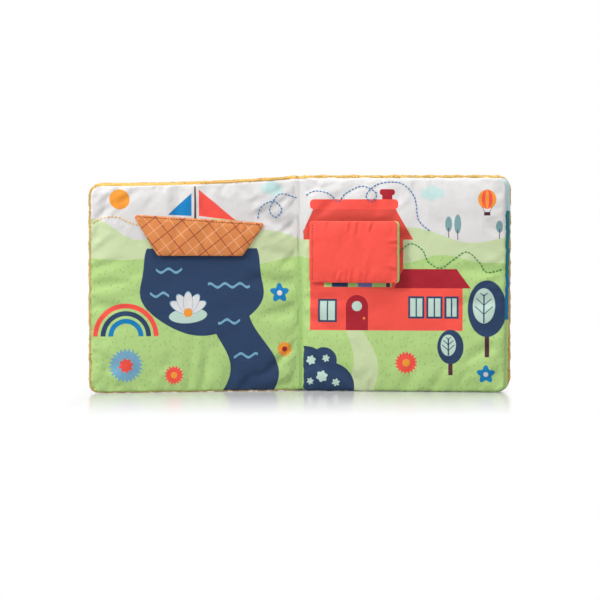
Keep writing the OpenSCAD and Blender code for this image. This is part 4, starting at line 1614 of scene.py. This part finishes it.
class BOOK_OT_stage(bpy.types.Operator):
    """Sets up the floor, the lamps and the camera"""
    bl_idname = "cloth_book.stage"
    bl_label = "Stage"

    def execute(self, context):
        scene = context.scene
        scene.view_settings.view_transform = "Standard"
        gutter = on_right(0, 0, 0).translation
        target = Vector((gutter.x - 2 * MM, gutter.y, 90.8 * MM))
        lift, away = math.radians(2.1), 2.9
        back = Vector((0, -math.cos(lift), math.sin(lift)))
        lens = bpy.data.cameras.new("camera")
        lens.lens, lens.sensor_width = 174.9, 36.0
        camera = bpy.data.objects.new("camera", lens)
        camera.location = target + back * away
        camera.rotation_mode = "QUATERNION"
        camera.rotation_quaternion = (-back).to_track_quat("-Z", "Y")
        lens.clip_start, lens.clip_end = 0.05, 60
        scene.collection.objects.link(camera)
        scene.camera = camera
        self.floor(scene)
        self.sky(scene)
        for name, place, size, watts in (("key", (-1.05, -0.8, 0.95), 0.4, 13.5),
                                         ("top", (0.1, -0.45, 1.7), 0.9, 16.0),
                                         ("fill", (1.5, -1.7, 0.8), 1.6, 6.5),
                                         ("behind", (0.7, 1.9, 1.6), 1.4, 38.0)):
            lamp = bpy.data.lights.new(name, "AREA")
            lamp.size, lamp.energy = size, watts
            light = bpy.data.objects.new(name, lamp)
            light.location = place
            light.rotation_mode = "QUATERNION"
            toward = Vector((0, 0, 0.1)) - Vector(place)
            light.rotation_quaternion = toward.to_track_quat("-Z", "Y")
            scene.collection.objects.link(light)
        return {"FINISHED"}

    def floor(self, scene):
        """A pale table near the book, which fades into white around it."""
        mesh = bpy.data.meshes.new("floor")
        wide = 12.0
        mesh.from_pydata([(-wide, -wide, 0), (wide, -wide, 0), (wide, wide, 0), (-wide, wide, 0)], [],
                         [(0, 1, 2, 3)])
        floor = bpy.data.objects.new("floor", mesh)
        scene.collection.objects.link(floor)
        shade = Shade("white_table")
        place = shade.node("ShaderNodeTexCoord").outputs["Object"]
        parts = shade.node("ShaderNodeSeparateXYZ", None, {0: place})
        x, y = shade.value(parts, 0), shade.value(parts, 1)
        side_edge, side_fade = 0.2, 0.02
        front_edge, front_fade = 0.075, 0.26
        back_edge, back_fade = 0.01, 0.04
        beside = (abs(x) - side_edge) / side_fade
        ahead = (-y - front_edge) / front_fade
        behind = (y - back_edge) / back_fade
        far = most(most(beside, ahead), behind).math("MINIMUM", 1.0).math("MAXIMUM", 0.0)
        table = shade.node("ShaderNodeBsdfPrincipled", None, {
            "Base Color": (0.52, 0.52, 0.52), "Roughness": 0.17, "Specular IOR Level": 0.3})
        seen = shade.node("ShaderNodeLightPath")
        rays = shade.value(seen, 0)
        glow = shade.node("ShaderNodeEmission", None, {
            "Color": (1.0, 1.0, 1.0), "Strength": rays * 0.12})
        lit = shade.node("ShaderNodeAddShader", None, {0: table.outputs[0], 1: glow.outputs[0]})
        white = shade.node("ShaderNodeEmission", None, {"Color": (1.0, 1.0, 1.0), "Strength": 1.0})
        mix = shade.node("ShaderNodeMixShader", None, {
            0: far * rays, 1: lit.outputs[0], 2: white.outputs[0]})
        shade.node("ShaderNodeOutputMaterial", None, {"Surface": mix.outputs[0]})
        mesh.materials.append(shade.material)

    def sky(self, scene):
        """A soft room that lights the book, white where it is seen, mirrored or seen through."""
        scene.world = bpy.data.worlds.new("soft_studio")
        shade = Shade("soft_studio", scene.world)
        paths = shade.node("ShaderNodeLightPath")
        camera, glossy, clear = [Value(shade, paths.outputs["Is %s Ray" % kind])
                                 for kind in ("Camera", "Glossy", "Transmission")]
        room = shade.node("ShaderNodeBackground", None, {
            "Color": (0.96, 0.98, 1.0), "Strength": 0.25})
        white = shade.node("ShaderNodeBackground", None, {
            "Color": (1.0, 1.0, 1.0), "Strength": 1.0})
        mix = shade.node("ShaderNodeMixShader", None, {
            0: most(most(camera, glossy), clear), 1: room.outputs[0], 2: white.outputs[0]})
        shade.node("ShaderNodeOutputWorld", None, {"Surface": mix.outputs[0]})


class BOOK_PT_panel(bpy.types.Panel):
    """Lists the steps that build the cloth book"""
    bl_idname = "BOOK_PT_panel"
    bl_label = "Cloth book"
    bl_space_type = "VIEW_3D"
    bl_region_type = "UI"
    bl_category = "Cloth book"

    def draw(self, context):
        for step in STEPS:
            self.layout.operator(step.bl_idname)
        for group in (context.scene.book_sizes, context.scene.book_colours):
            for name in group.bl_rna.properties.keys():
                if name not in ("rna_type", "name"):
                    self.layout.prop(group, name)


STEPS = (BOOK_OT_stage, BOOK_OT_cloths, BOOK_OT_back_cover, BOOK_OT_leaves, BOOK_OT_front_cover,
         BOOK_OT_spine, BOOK_OT_flaps)
CLASSES = (BookSizes, BookColours) + STEPS + (BOOK_PT_panel,)


def register():
    for c in CLASSES:
        bpy.utils.register_class(c)
    bpy.types.Scene.book_sizes = PointerProperty(type=BookSizes)
    bpy.types.Scene.book_colours = PointerProperty(type=BookColours)


def unregister():
    del bpy.types.Scene.book_colours
    del bpy.types.Scene.book_sizes
    for c in reversed(CLASSES):
        bpy.utils.unregister_class(c)


def main():
    register()
    for step in STEPS:
        group, action = step.bl_idname.split(".")
        getattr(getattr(bpy.ops, group), action)()
    bpy.context.view_layer.update()


if __name__ == "__main__":
    main()
